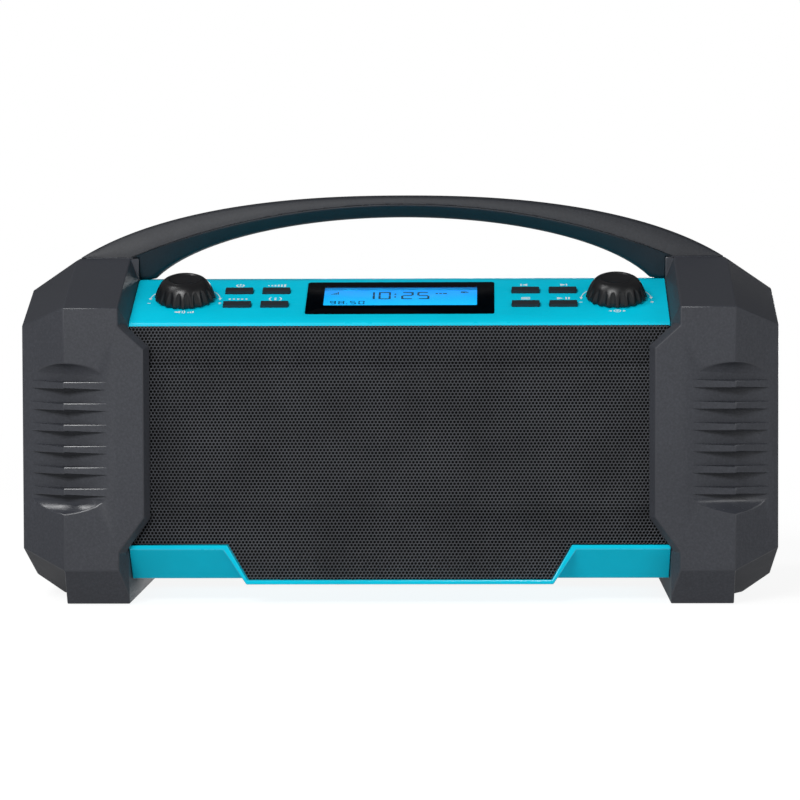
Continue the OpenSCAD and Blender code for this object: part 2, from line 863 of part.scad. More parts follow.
// Wells, bay walls, socket wall and the aerial's saddle
module rear_bosses() {
    for (x = [-case_post_x, case_post_x], z = case_post_z)
        translate([x, 0, z])
            bar_y(well_r + 1.8, deck_half, plate_y - 0.5);
    translate([bay_x, 0, bay_z]) {
        along_y(bay_back - pack_d - 1 - bay_t, plate_y - 0.5)
            square([bay_w + 2 * bay_t, bay_h + 2 * bay_t], center = true);
        along_y(bay_back, plate_y - 0.5)
            round_rect(bay_w + 2 * door_lap + 5, bay_h + 2 * door_lap + 5, 5);
        for (x = [-door_screw_x, door_screw_x])
            translate([x, 0, bay_h / 2 + door_lap / 2])
                bar_y(boss_r, plate_y - 13, plate_y - door_t);
    }
    translate([recess_x, 0, recess_z]) {
        along_y(socket_y, plate_y - 0.5)
            round_rect(recess_w + 6, recess_h + 6, 4);
        for (x = [-stand_x, stand_x])
            translate([x, 0, 0])
                bar_y(boss_r, socket_y - socket_depth, socket_y + eps);
    }
    translate([saddle_x, 0, aerial_z])
        along_x(8)
            polygon([[plate_y - 0.5, -aerial_r - 0.2], [aerial_y + 2.5, -aerial_r - 0.2],
                [aerial_y + 2.5, -aerial_r - 2.6], [plate_y - 0.5, -aerial_r - 8]]);
}

// Door over the battery bay, with two tongues at its lower edge
module battery_door() {
    gap = seam_gap;
    color([0.2, 0.21, 0.22])
        translate([bay_x, 0, bay_z])
            difference() {
                union() {
                    along_y(plate_y - door_t, plate_y)
                        round_rect(bay_w + 2 * door_lap - 2 * gap, bay_h + 2 * door_lap - 2 * gap, 3.7);
                    for (x = [-0.3, 0.3])
                        translate([x * bay_w, 0, -bay_h / 2 + 3])
                            along_y(bay_back + 0.5, plate_y - door_t + eps)
                                square([14, 5], center = true);
                }
                for (x = [-door_screw_x, door_screw_x])
                    translate([x, 0, bay_h / 2 + door_lap / 2])
                        bar_y(small_r + 0.2, plate_y - door_t - 1, plate_y + 1);
                for (x = [-16:4:16])
                    translate([x, 0, bay_h / 2 - 8])
                        along_y(plate_y - 0.8, plate_y + 1)
                            square([1.6, 12], center = true);
            }
}

// Rechargeable pack: two rows of cells in a shrink sleeve
module battery_pack() {
    cell_r = pack_h / 6;
    color([0.15, 0.3, 0.6])
        translate([bay_x, 0, bay_z])
            along_y(bay_back - pack_d, bay_back)
                round_rect(pack_w, pack_h, cell_r);
}

// ---------------------------------------------------------------- grille and speakers

module speaker_grille() {
    top = panel_z - 1.8;
    low = ground_clear - tongue_drop + rim_w;
    mid_y = -plate_y - sheet_t - sheet_bow;
    edge_y = -plate_y - sheet_t;
    upper = top - crease_top;
    lower = upper - crease_pitch;
    color([0.08, 0.08, 0.09])
        intersection() {
            along_x(2 * side_x)
                polygon([[edge_y, top], [mid_y, upper], [mid_y, lower], [edge_y, low],
                    [edge_y + sheet_t, low], [mid_y + sheet_t, lower], [mid_y + sheet_t, upper],
                    [edge_y + sheet_t, top]]);
            along_y(-half_d, 0)
                grille_outline(0);
        }
}

module speaker_gaskets() {
    color([0.12, 0.12, 0.12])
        for (side = [-1, 1])
            at_speaker(side)
                difference() {
                    cylinder(r = speaker_hole_r + 4, h = 1);
                    translate([0, 0, -1])
                        cylinder(r = speaker_hole_r + 0.6, h = 3);
                }
}

frame_t = 2;
basket_d = 20;
neck_r = 10.8;

// Pressed basket with windows between its arms
module speaker_frame(side) {
    color([0.3, 0.3, 0.32])
        at_speaker(side)
            difference() {
                union() {
                    translate([0, 0, -frame_t])
                        linear_extrude(frame_t)
                            round_rect(2 * ear + 10, 2 * ear + 10, 5);
                    translate([0, 0, -basket_d])
                        cylinder(r1 = magnet_r, r2 = speaker_hole_r - 1, h = basket_d - frame_t + eps);
                }
                translate([0, 0, -basket_d + 1.5])
                    cylinder(r1 = magnet_r - 1.8, r2 = speaker_hole_r - 2.5, h = basket_d - 1.5 + eps);
                translate([0, 0, -basket_d - 1])
                    cylinder(r = neck_r + 2, h = 4);
                for (a = [0:60:300])
                    rotate([0, 0, a + 30])
                        translate([10, -7, -basket_d + 5])
                            cube([40, 14, 11]);
                at_ears()
                    translate([0, 0, -frame_t - 1])
                        cylinder(r = small_r + 0.2, h = frame_t + 2);
            }
}

// Ring magnet between two steel plates, with the pole piece in the middle
module speaker_magnet(side) {
    color([0.35, 0.35, 0.38])
        at_speaker(side)
            translate([0, 0, -basket_d])
                rotate([180, 0, 0])
                    rotate_extrude()
                        polygon([[neck_r + 0.5, 0], [magnet_r - 3, 0], [magnet_r - 3, 3],
                            [magnet_r, 3], [magnet_r, 13], [magnet_r - 3, 13], [magnet_r - 3, 16],
                            [0, 16], [0, 0], [neck_r - 1, 0], [neck_r - 1, 13], [neck_r + 3, 13],
                            [neck_r + 3, 3], [neck_r + 0.5, 3]]);
}

// Half roll that the cone hangs in
module speaker_surround(side) {
    mid = (cone_r + speaker_hole_r - 0.5) / 2;
    roll = mid - cone_r - 0.3;
    color([0.06, 0.06, 0.06])
        at_speaker(side)
            rotate_extrude()
                union() {
                    difference() {
                        translate([mid, 0])
                            circle(roll);
                        translate([mid, 0])
                            circle(roll - 0.8);
                        translate([0, -2 * roll])
                            square([2 * mid, 2 * roll]);
                    }
                    translate([mid + roll - 0.8, 0])
                        square([1.2, 0.8]);
                }
}

cone_front = 0.4;
cone_back = -11.6;
cone_lip = cone_r - 0.8;
cone_neck = neck_r + fit;

// Height of the cone's front surface at a radius
function cone_z(r) = cone_back + (r - cone_neck) * (cone_front - cone_back) / (cone_lip - cone_neck);

module speaker_cone(side) {
    color([0.2, 0.2, 0.2])
        at_speaker(side)
            rotate_extrude()
                polygon([[cone_neck, cone_back - 1.4], [neck_r + 1, cone_back - 1.4],
                    [cone_r, cone_front - 1], [cone_r, cone_front], [cone_lip, cone_front],
                    [cone_neck, cone_back]]);
}

module dust_cap(side) {
    cap_r = neck_r + 2;
    dome_r = 18;
    drop = sqrt(dome_r * dome_r - cap_r * cap_r);
    color([0.12, 0.12, 0.12])
        at_speaker(side)
            translate([0, 0, cone_z(cap_r) + 0.2])
                rotate_extrude()
                    intersection() {
                        difference() {
                            translate([0, -drop])
                                circle(dome_r);
                            translate([0, -drop])
                                circle(dome_r - 0.8);
                        }
                        square([cap_r, dome_r]);
                    }
}

module voice_coil(side) {
    color([0.7, 0.4, 0.2])
        at_speaker(side)
            translate([0, 0, -27])
                difference() {
                    cylinder(r = neck_r, h = 14.6);
                    translate([0, 0, -1])
                        cylinder(r = neck_r - 0.5, h = 17);
                }
}

// ---------------------------------------------------------------- display and control board

module display_lens() {
    color([0.02, 0.02, 0.03])
        on_panel()
            translate([0, lens_v + lens_h / 2, -lens_t + 0.2])
                linear_extrude(lens_t)
                    round_rect(lens_w, lens_h, 1.6);
}

glass_t = 2.2;

module display_glass() {
    color([0.1, 0.6, 1])
        on_panel()
            translate([0, window_v, -panel_t - glass_t])
                linear_extrude(glass_t)
                    square([window_w + 6, window_h + 5], center = true);
}

module display_backlight() {
    color([0.85, 0.85, 0.85])
        on_panel()
            translate([0, window_v, board_top])
                linear_extrude(-board_top - panel_t - glass_t)
                    square([window_w + 4, window_h + 3], center = true);
}

module control_board() {
    color([0.1, 0.35, 0.15])
        on_panel()
            difference() {
                translate([-knob_x - 12, board_v, board_top - board_w])
                    cube([2 * knob_x + 24, panel_len - board_v - board_rear, board_w]);
                for (x = panel_stand_x)
                    translate([x, panel_stand_v, board_top - board_w - 1])
                        cylinder(r = small_r + 0.2, h = board_w + 2);
            }
}

switch_h = 3.4;
switch_stem = 0.8;

module key_switches() {
    color([0.2, 0.2, 0.2])
        on_panel()
            for (p = button_places)
                translate([p.x, p.y, board_top]) {
                    translate([-3, -3, 0])
                        cube([6, 6, switch_h]);
                    cylinder(r = 1.7, h = switch_h + switch_stem);
                }
}

// Button with a flange that keeps it under the panel and a stem over its switch
module button(side, column, row) {
    p = button_pos(side, column, row);
    flange_top = -panel_t - 0.2;
    stem_low = board_top + switch_h + switch_stem + button_travel + 0.1;
    color([0.16, 0.18, 0.2])
        on_panel()
            translate([p.x, p.y, 0]) {
                translate([0, 0, flange_top - 1.2])
                    linear_extrude(button_proud - flange_top + 1.2)
                        round_rect(button_w, button_h, 0.8);
                translate([0, 0, flange_top - 1.2])
                    linear_extrude(1.2)
                        round_rect(button_w + 1.6, button_h + 1.6, 0.8);
                translate([0, 0, stem_low])
                    cylinder(r = 1.5, h = flange_top - 1 - stem_low);
            }
}

module power_button() { button(-1, 1, 1); }
module mode_button() { button(-1, 0, 1); }
module preset_button() { button(-1, 1, 0); }
module info_button() { button(-1, 0, 0); }
module previous_button() { button(1, 0, 1); }
module next_button() { button(1, 1, 1); }
module menu_button() { button(1, 0, 0); }
module play_button() { button(1, 1, 0); }

// ---------------------------------------------------------------- knobs and encoders

encoder_h = 6;
bushing_r = 4.5;
chamber_r = 4.2;
chamber_top = -8.4;
shaft_low = -9;
shaft_top = 9;
plunger_t = 1.6;
knob_low = knob_travel + 0.1;

module at_knob(side) {
    on_panel()
        translate([side * knob_x, knob_v, 0])
            children();
}

// Domed knob with scalloped flutes round its skirt and a dished top
module knob(side) {
    color([0.13, 0.13, 0.13])
        at_knob(side)
            difference() {
                rotate_extrude($fn = 96)
                    knob_profile();
                for (i = [0:flute_count - 1])
                    rotate([0, 0, 360 * i / flute_count])
                        translate([knob_r + flute_r * 0.45, 0, knob_low - 1])
                            cylinder(r = flute_r, h = knob_h + 2, $fn = 24);
                translate([0, 0, knob_low - 1])
                    cylinder(r = shaft_r + fit, h = shaft_top - knob_low + 1);
                translate([0, 0, knob_low - 1])
                    difference() {
                        cylinder(r = knob_r - 4, h = 5);
                        cylinder(r = shaft_r + 2.5, h = 6);
                    }
            }
}

// Half section of a knob: low skirt, shoulder between a cone and an ellipse, dished top
module knob_profile() {
    skirt = 2.4;
    steps = 8;
    rise = knob_h - skirt - 0.4;
    shoulder = [for (i = [0:steps]) let (a = 90 * i / steps)
        [knob_top_r + (knob_r - 0.3 - knob_top_r) * (0.6 * cos(a) + 0.4 * (1 - sin(a))),
            skirt + rise * sin(a)]];
    polygon(concat([[0, knob_low], [knob_r, knob_low], [knob_r, skirt * 0.6]], shoulder,
        [[knob_top_r - 0.7, knob_h], [knob_top_r - 1.5, knob_h - 0.5], [0, knob_h - 1.1]]));
}

module encoder_shaft(side) {
    color([0.75, 0.75, 0.78])
        at_knob(side)
            translate([0, 0, shaft_low])
                cylinder(r = shaft_r, h = shaft_top - shaft_low);
}

module encoder_plunger(side) {
    color([0.85, 0.85, 0.8])
        at_knob(side)
            translate([0, 0, shaft_low - plunger_t])
                cylinder(r = chamber_r - 0.3, h = plunger_t);
}

module encoder(side) {
    color([0.55, 0.57, 0.6])
        at_knob(side)
            difference() {
                union() {
                    translate([-6, -6, board_top])
                        cube([12, 12, encoder_h]);
                    translate([0, 0, board_top + encoder_h - eps])
                        cylinder(r = bushing_r, h = -board_top - encoder_h - panel_t - 0.3);
                }
                translate([0, 0, chamber_top - eps])
                    cylinder(r = shaft_r + fit, h = 10);
                translate([0, 0, shaft_low - plunger_t - knob_travel - 0.2])
                    cylinder(r = chamber_r, h = chamber_top - shaft_low + plunger_t + knob_travel + 0.2);
            }
}

// ---------------------------------------------------------------- inside parts

module main_board() {
    color([0.1, 0.35, 0.15])
        difference() {
            translate([-main_stand_x - 6, main_stand_y[0] - 6, main_board_z])
                cube([2 * main_stand_x + 12, main_stand_y[1] - main_stand_y[0] + 12, board_w]);
            for (x = [-main_stand_x, main_stand_x], y = main_stand_y)
                translate([x, y, main_board_z - 1])
                    cylinder(r = small_r + 0.2, h = board_w + 2);
        }
}

// Heat sink, capacitors, coil and chips of the amplifier
module board_parts() {
    z = main_board_z + board_w;
    color([0.25, 0.25, 0.28])
        translate([0, -18, z]) {
            translate([-24, 10, 0])
                cube([48, 10, 3]);
            for (i = [0:6])
                translate([-24 + i * 7.7, 10, 0])
                    cube([1.8, 10, 20]);
            for (x = [22 - main_stand_x, 38 - main_stand_x, main_stand_x - 46])
                translate([x, 2, 0])
                    cylinder(r = 6, h = 20);
            translate([main_stand_x - 24, 4, 0])
                difference() {
                    cylinder(r = 11, h = 9);
                    translate([0, 0, -1])
                        cylinder(r = 5, h = 11);
                }
            for (x = [-36, -8, 20])
                translate([x, -16, 0])
                    cube([12, 12, 1.6]);
        }
}

module socket_board() {
    color([0.1, 0.35, 0.15])
        translate([recess_x, 0, recess_z])
            difference() {
                along_y(socket_y - socket_depth - board_w, socket_y - socket_depth)
                    square([2 * stand_x + 8, recess_h - 6], center = true);
                for (x = [-stand_x, stand_x])
                    translate([x, 0, 0])
                        bar_y(small_r + 0.2, socket_y - socket_depth - board_w - 1, socket_y);
            }
}

// Socket body on its board, with a round nose that fills the hole in the cover
module socket_body(w, h, nose_r, bore_r) {
    difference() {
        union() {
            along_y(socket_y - socket_depth, socket_y)
                square([w, h], center = true);
            bar_y(nose_r, socket_y - eps, socket_y + wall);
        }
        bar_y(bore_r, socket_y - socket_depth + 1, socket_y + wall + 1);
    }
}

module power_socket() {
    color([0.08, 0.08, 0.08])
        translate([recess_x - 16, 0, recess_z]) {
            socket_body(11, 12, power_r + 1.4, power_r);
            bar_y(1, socket_y - socket_depth, socket_y + wall - 1.5);
        }
}

module audio_socket() {
    color([0.08, 0.08, 0.08])
        translate([recess_x, 0, recess_z])
            socket_body(9, 11, audio_r + 1.4, audio_r);
}

module usb_socket() {
    color([0.7, 0.7, 0.72])
        translate([recess_x + 15, 0, recess_z])
            difference() {
                along_y(socket_y - socket_depth, socket_y + wall)
                    square([13.2, 5.8], center = true);
                difference() {
                    along_y(socket_y - socket_depth + 1, socket_y + wall + 1)
                        square([12.2, 4.8], center = true);
                    translate([0, 0, 1])
                        along_y(socket_y - socket_depth, socket_y + wall - 1.5)
                            square([11, 1.6], center = true);
                }
            }
}

// Rubber cover over the sockets, with a round hinge edge at its top and a pull at its lower edge
module socket_cover() {
    low = seam_gap - recess_h / 2;
    hinge_z = -low - cover_t / 2;
    color([0.1, 0.1, 0.1])
        translate([recess_x, 0, recess_z]) {
            intersection() {
                along_x(recess_w - 2 * seam_gap)
                    union() {
                        translate([plate_y - cover_t, low])
                            square([cover_t, hinge_z - low]);
                        translate([plate_y - cover_t / 2, hinge_z])
                            circle(cover_t / 2);
                    }
                along_y(plate_y - cover_t - 1, plate_y + 1)
                    round_rect(recess_w - 2 * seam_gap, recess_h - 2 * seam_gap, 2.7);
            }
            translate([0, 0, -recess_h / 2 + 3])
                along_x(14)
                    polygon([[plate_y - eps, -1.6], [plate_y + 1.6, -1.2], [plate_y + 1.6, 0.4],
                        [plate_y - eps, 1.6]]);
        }
}

// ---------------------------------------------------------------- aerial

turret_r = 8;

module aerial_base() {
    color([0.09, 0.09, 0.1])
        translate([aerial_x, 0, aerial_z])
            difference() {
                union() {
                    bar_y(turret_r, plate_y + seam_gap, aerial_y + 4.9);
                    bar_y(4, plate_y - wall - 3, plate_y + seam_gap + eps);
                    translate([0, aerial_y, 0])
                        rotate([0, -90, 0])
                            cylinder(r = aerial_r, h = 14);
                }
                translate([-4, aerial_y, 0])
                    rotate([0, -90, 0])
                        cylinder(r = aerial_r - 1 + fit, h = 20);
            }
}

// Ring that keeps the aerial's spigot in the cover
module aerial_ring() {
    color([0.7, 0.7, 0.72])
        translate([aerial_x, 0, aerial_z])
            difference() {
                bar_y(6.5, plate_y - wall - 1.5, plate_y - wall - 0.3);
                bar_y(4 + fit, plate_y - wall - 3, plate_y);
            }
}

// Flexible rubber mast, a taper with a round tip
module aerial_mast() {
    tip_r = aerial_r - 1.1;
    color([0.07, 0.07, 0.08])
        translate([aerial_x, aerial_y, aerial_z])
            rotate([0, -90, 0]) {
                translate([0, 0, 4])
                    cylinder(r = aerial_r - 1, h = 10 + eps);
                translate([0, 0, 14])
                    cylinder(r1 = aerial_r, r2 = tip_r, h = aerial_l - 14 - tip_r);
                translate([0, 0, aerial_l - tip_r])
                    sphere(r = tip_r);
            }
}

// ---------------------------------------------------------------- fasteners

module case_screws() {
    color([0.3, 0.3, 0.3])
        for (x = [-case_post_x, case_post_x], z = case_post_z)
            translate([x, deck_half + wall, z])
                rotate([90, 0, 0])
                    screw(screw_r, 14, 3.6, 2.4);
}

module cap_screws() {
    color([0.5, 0.5, 0.5])
        for (s = [-1, 1], y = cap_posts_y, z = cap_posts_z)
            translate([s * (side_x - wall), y, z])
                rotate([0, s * 90, 0])
                    screw(screw_r, 13, 3.6, 2.4);
}

module handle_screws() {
    color([0.5, 0.5, 0.5])
        for (x = [-handle_post_x, handle_post_x], y = [-handle_post_y, handle_post_y])
            translate([x, y, seam_z - cap_wall])
                screw(screw_r, cap_wall + handle_bite, 3.6, 2.4);
}

module speaker_screws() {
    color([0.4, 0.4, 0.4])
        for (side = [-1, 1])
            at_speaker(side)
                at_ears()
                    translate([0, 0, -frame_t])
                        screw(small_r, frame_t + speaker_seat + 1.5, 2.8, 1.8);
}

// Screws of the boards and of the battery door
module small_screws() {
    color([0.6, 0.6, 0.6]) {
        on_panel()
            for (x = panel_stand_x)
                translate([x, panel_stand_v, board_top - board_w])
                    screw(small_r, 6, 2.8, 1.8);
        for (x = [-main_stand_x, main_stand_x], y = main_stand_y)
            translate([x, y, main_board_z + board_w])
                rotate([180, 0, 0])
                    screw(small_r, 6, 2.8, 1.8);
        for (x = [-stand_x, stand_x])
            translate([recess_x + x, socket_y - socket_depth - board_w, recess_z])
                rotate([-90, 0, 0])
                    screw(small_r, 8, 2.8, 1.8);
        for (x = [-door_screw_x, door_screw_x])
            translate([bay_x + x, plate_y, bay_z + bay_h / 2 + door_lap / 2])
                rotate([90, 0, 0])
                    screw(small_r, 9, 2.3, 1);
    }
}

front_housing();
rear_cover();
left_end_cap();
right_end_cap();
handle_upper();
handle_grip();
foot_pads();
speaker_grille();
speaker_gaskets();
speaker_frame(-1);  // left_speaker_frame
speaker_frame(1);  // right_speaker_frame
speaker_magnet(-1);  // left_speaker_magnet
speaker_magnet(1);  // right_speaker_magnet
speaker_surround(-1);  // left_speaker_surround
speaker_surround(1);  // right_speaker_surround
speaker_cone(-1);  // left_speaker_cone
speaker_cone(1);  // right_speaker_cone
dust_cap(-1);  // left_dust_cap
dust_cap(1);  // right_dust_cap
voice_coil(-1);  // left_voice_coil
voice_coil(1);  // right_voice_coil
display_lens();
display_glass();
display_backlight();
control_board();
key_switches();
power_button();
mode_button();
preset_button();
info_button();
previous_button();
next_button();
menu_button();
play_button();
knob(-1);  // volume_knob
knob(1);  // tuning_knob
encoder_shaft(-1);  // volume_shaft
encoder_shaft(1);  // tuning_shaft
encoder_plunger(-1);  // volume_plunger
encoder_plunger(1);  // tuning_plunger
encoder(-1);  // volume_encoder
encoder(1);  // tuning_encoder
main_board();
board_parts();
battery_pack();
battery_door();
socket_board();
power_socket();
audio_socket();
usb_socket();
socket_cover();
aerial_base();
aerial_ring();
aerial_mast();
case_screws();
cap_screws();
handle_screws();
speaker_screws();
small_screws();
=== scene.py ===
import json
import math

import bmesh
import bpy
import numpy as np
from mathutils import Matrix, Vector


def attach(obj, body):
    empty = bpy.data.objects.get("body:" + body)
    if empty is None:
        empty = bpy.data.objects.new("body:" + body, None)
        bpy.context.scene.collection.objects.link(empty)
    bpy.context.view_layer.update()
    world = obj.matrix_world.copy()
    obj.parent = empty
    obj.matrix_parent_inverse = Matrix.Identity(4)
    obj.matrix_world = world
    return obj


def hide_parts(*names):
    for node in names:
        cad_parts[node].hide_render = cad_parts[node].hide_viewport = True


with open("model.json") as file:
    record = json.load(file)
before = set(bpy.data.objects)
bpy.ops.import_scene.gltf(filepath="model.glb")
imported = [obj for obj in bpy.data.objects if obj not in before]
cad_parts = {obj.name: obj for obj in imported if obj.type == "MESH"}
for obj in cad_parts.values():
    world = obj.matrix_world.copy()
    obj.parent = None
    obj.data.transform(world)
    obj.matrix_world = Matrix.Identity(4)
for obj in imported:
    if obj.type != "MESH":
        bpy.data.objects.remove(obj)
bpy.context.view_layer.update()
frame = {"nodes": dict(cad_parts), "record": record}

# Sizes in millimetres, the same as in the part's source
MM = 0.001
HALF_W, HALF_D = 200.0, 90.0
SLOPE = math.radians(20)
SEAM_GAP = 0.3
CAP_X = 143.0
FACE_TOP, FRONT_SET, PANEL_SINK = 157.5, 10.5, 11.9
SIDE_X = CAP_X - SEAM_GAP
COLUMN_X = 147.6
PLATE_Y = 79.5
DECK_HALF = 19.5
PANEL_Z = FACE_TOP + FRONT_SET * math.tan(SLOPE) - PANEL_SINK
SEAM_Y = 20.0
SEAM_Z = FACE_TOP + (HALF_D - SEAM_Y) * math.tan(SLOPE)
DECK_Z = PANEL_Z + (PLATE_Y - DECK_HALF) * math.tan(SLOPE)


# ------------------------------------------------------------------ small helpers

def srgb(r, g, b):
    """Colour from 0 to 255 values, as linear light."""
    def lin(c):
        c /= 255
        return c / 12.92 if c <= 0.04045 else ((c + 0.055) / 1.055) ** 2.4
    return (lin(r), lin(g), lin(b), 1.0)


def new_object(name, mesh, material=None):
    obj = bpy.data.objects.new(name, mesh)
    bpy.context.scene.collection.objects.link(obj)
    if material is not None:
        obj.data.materials.clear()
        obj.data.materials.append(material)
    return obj


def mesh_of(name, points, faces, scale=MM):
    mesh = bpy.data.meshes.new(name)
    mesh.from_pydata([tuple(c * scale for c in p) for p in points], [], faces)
    mesh.update()
    return mesh


def outward(mesh):
    """Points every face of a closed shell outwards."""
    bm = bmesh.new()
    bm.from_mesh(mesh)
    bmesh.ops.remove_doubles(bm, verts=bm.verts, dist=1e-6)
    bmesh.ops.recalc_face_normals(bm, faces=bm.faces)
    bm.to_mesh(mesh)
    bm.free()
    return mesh


def on_panel(u, v, n=0.0):
    """Point on the control panel: along it, up its slope and out of it."""
    c, s = math.cos(SLOPE), math.sin(SLOPE)
    return (u, -PLATE_Y + v * c - n * s, PANEL_Z + v * s + n * c)


def choose_edges(bm, width, angle):
    """Marks the sharp edges that have room to be rounded, which short ones round a bore haven't."""
    weight = bm.edges.layers.float.new("bevel_weight_edge")
    crowded = {v for v in bm.verts if any(e.calc_length() < 2.1 * width for e in v.link_edges)}
    for e in bm.edges:
        sharp = len(e.link_faces) == 2 and e.calc_face_angle(0) > angle
        if sharp and not (e.verts[0] in crowded or e.verts[1] in crowded):
            e[weight] = 1.0


def crisp_faces(obj):
    """Keeps a rounded edge (second material slot) from shading the flat faces beside it."""
    bm = bmesh.new()
    bm.from_mesh(obj.data)
    for e in bm.edges:
        if len({f.material_index for f in e.link_faces}) > 1:
            e.smooth = False
    bm.to_mesh(obj.data)
    bm.free()


def moulded_copy(node, name, material, bevel, segments=2, angle=25, smooth=35, edge=None):
    """Welded copy of a CAD piece with its edges rounded, which stands for that piece.

    The rounded edges may have a finish of their own."""
    source = frame["nodes"][node]
    mesh = source.data.copy()
    bm = bmesh.new()
    bm.from_mesh(mesh)
    bmesh.ops.remove_doubles(bm, verts=bm.verts, dist=2e-6)
    bmesh.ops.dissolve_limit(bm, angle_limit=math.radians(1.0), verts=bm.verts, edges=bm.edges)
    choose_edges(bm, bevel * MM, math.radians(angle))
    bm.to_mesh(mesh)
    bm.free()
    obj = new_object(name, mesh, material)
    obj.data.materials.append(edge or material)
    mod = obj.modifiers.new("rounded_edges", "BEVEL")
    mod.width = bevel * MM
    mod.segments = segments
    mod.limit_method = "WEIGHT"
    mod.use_clamp_overlap = False
    mod.material = 1
    bake(obj)
    shade(obj, smooth)
    crisp_faces(obj)
    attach(obj, body_of_node(node))
    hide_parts(node)
    return obj


def bake(obj):
    """Turns an object's modifiers into its own mesh."""
    dg = bpy.context.evaluated_depsgraph_get()
    mesh = bpy.data.meshes.new_from_object(obj.evaluated_get(dg))
    materials = list(obj.data.materials)
    obj.modifiers.clear()
    obj.data = mesh
    if materials and not len(mesh.materials):
        for m in materials:
            mesh.materials.append(m)


def shade(obj, degrees):
    """Smooth shading that keeps edges sharper than the angle."""
    mesh = obj.data
    mesh.polygons.foreach_set("use_smooth", [True] * len(mesh.polygons))
    bm = bmesh.new()
    bm.from_mesh(mesh)
    limit = math.radians(degrees)
    for e in bm.edges:
        e.smooth = len(e.link_faces) == 2 and e.calc_face_angle(0) < limit
    bm.to_mesh(mesh)
    bm.free()


def body_of_node(node):
    for body, members in frame["record"]["behaviour"]["bodies"].items():
        if node in members:
            return body
    raise KeyError(node)


# ------------------------------------------------------------------ camera

def place_camera():
    data = bpy.data.cameras.new("camera")
    data.sensor_width = 36
    data.lens = 161.55
    data.clip_start, data.clip_end = 0.1, 20
    cam = bpy.data.objects.new("camera", data)
    place = Matrix.Translation((0.0486, -1.9694, 0.1924))
    turn = Matrix.Rotation(math.radians(1.46), 4, "Z")
    tilt = Matrix.Rotation(math.radians(90 - 2.548), 4, "X")
    roll = Matrix.Rotation(math.radians(-0.19), 4, "Z")
    cam.matrix_world = place @ turn @ tilt @ roll
    bpy.context.scene.collection.objects.link(cam)
    bpy.context.scene.camera = cam


place_camera()


# ------------------------------------------------------------------ finishes

class Finish:
    """A node material built up in steps on one Principled shader."""

    def __init__(self, name):
        self.mat = bpy.data.materials.new(name)
        self.mat.use_nodes = True
        self.tree = self.mat.node_tree
        self.tree.nodes.clear()
        self.out = self.tree.nodes.new("ShaderNodeOutputMaterial")
        self.bsdf = self.tree.nodes.new("ShaderNodeBsdfPrincipled")
        self.link(self.bsdf.outputs[0], self.out.inputs[0])
        self.where = self.tree.nodes.new("ShaderNodeTexCoord").outputs["Object"]
        self.height = None

    def link(self, a, b):
        self.tree.links.new(a, b)

    def node(self, kind, **settings):
        n = self.tree.nodes.new(kind)
        for key, value in settings.items():
            setattr(n, key, value)
        return n

    def set(self, **values):
        for key, value in values.items():
            self.bsdf.inputs[key.replace("_", " ")].default_value = value
        return self

    def noise(self, scale, detail=2.0, rough=0.5, stretch=(1, 1, 1)):
        place = self.node("ShaderNodeMapping")
        place.inputs["Scale"].default_value = stretch
        self.link(self.where, place.inputs["Vector"])
        n = self.node("ShaderNodeTexNoise")
        n.inputs["Scale"].default_value = scale
        n.inputs["Detail"].default_value = detail
        n.inputs["Roughness"].default_value = rough
        self.link(place.outputs[0], n.inputs["Vector"])
        return n.outputs["Fac"]

    def cells(self, scale, smooth=0.4):
        n = self.node("ShaderNodeTexVoronoi")
        n.feature = "SMOOTH_F1"
        n.inputs["Scale"].default_value = scale
        n.inputs["Smoothness"].default_value = smooth
        self.link(self.where, n.inputs["Vector"])
        return n.outputs["Distance"]

    def spread(self, fac, low, high, start=0.3, end=0.7):
        n = self.node("ShaderNodeMapRange")
        n.inputs["From Min"].default_value = start
        n.inputs["From Max"].default_value = end
        n.inputs["To Min"].default_value = low
        n.inputs["To Max"].default_value = high
        self.link(fac, n.inputs["Value"])
        return n.outputs["Result"]

    def colours(self, fac, *stops):
        n = self.node("ShaderNodeValToRGB")
        ramp = n.color_ramp
        while len(ramp.elements) < len(stops):
            ramp.elements.new(0.5)
        for element, (at, colour) in zip(ramp.elements, stops):
            element.position = at
            element.color = colour
        self.link(fac, n.inputs["Fac"])
        self.link(n.outputs["Color"], self.bsdf.inputs["Base Color"])
        return self

    def roughness(self, fac, low, high):
        self.link(self.spread(fac, low, high), self.bsdf.inputs["Roughness"])
        return self

    def bump(self, fac, strength, depth):
        """Adds relief: strength from 0 to 1 and depth in millimetres."""
        n = self.node("ShaderNodeBump")
        n.inputs["Strength"].default_value = strength
        n.inputs["Distance"].default_value = depth * MM
        self.link(fac, n.inputs["Height"])
        if self.height is not None:
            self.link(self.height, n.inputs["Normal"])
        self.height = n.outputs["Normal"]
        self.link(self.height, self.bsdf.inputs["Normal"])
        return self


def shaded(colour, k):
    return (colour[0] * k, colour[1] * k, colour[2] * k, 1.0)


def textured_plastic(name, colour, rough, grain, depth, speckle=0.14, shine=0.35):
    """Moulded plastic with the fine leather-like grain of an etched mould."""
    f = Finish(name).set(Specular_IOR_Level=shine)
    fine = f.noise(grain, 3, 0.6)
    broad = f.noise(14, 3, 0.55)
    mix = f.node("ShaderNodeMath", operation="MULTIPLY_ADD")
    mix.inputs[1].default_value = 0.75
    f.link(fine, mix.inputs[0])
    third = f.node("ShaderNodeMath", operation="MULTIPLY")
    third.inputs[1].default_value = 0.25
    f.link(broad, third.inputs[0])
    f.link(third.outputs[0], mix.inputs[2])
    f.colours(mix.outputs[0], (0.36, shaded(colour, 1 - speckle)), (0.5, colour),
              (0.66, shaded(colour, 1 + 1.6 * speckle)))
    f.roughness(broad, rough - 0.05, rough + 0.06)
    f.bump(f.cells(grain * 0.8), 0.35, depth)
    f.bump(fine, 0.5, depth)
    return f.mat


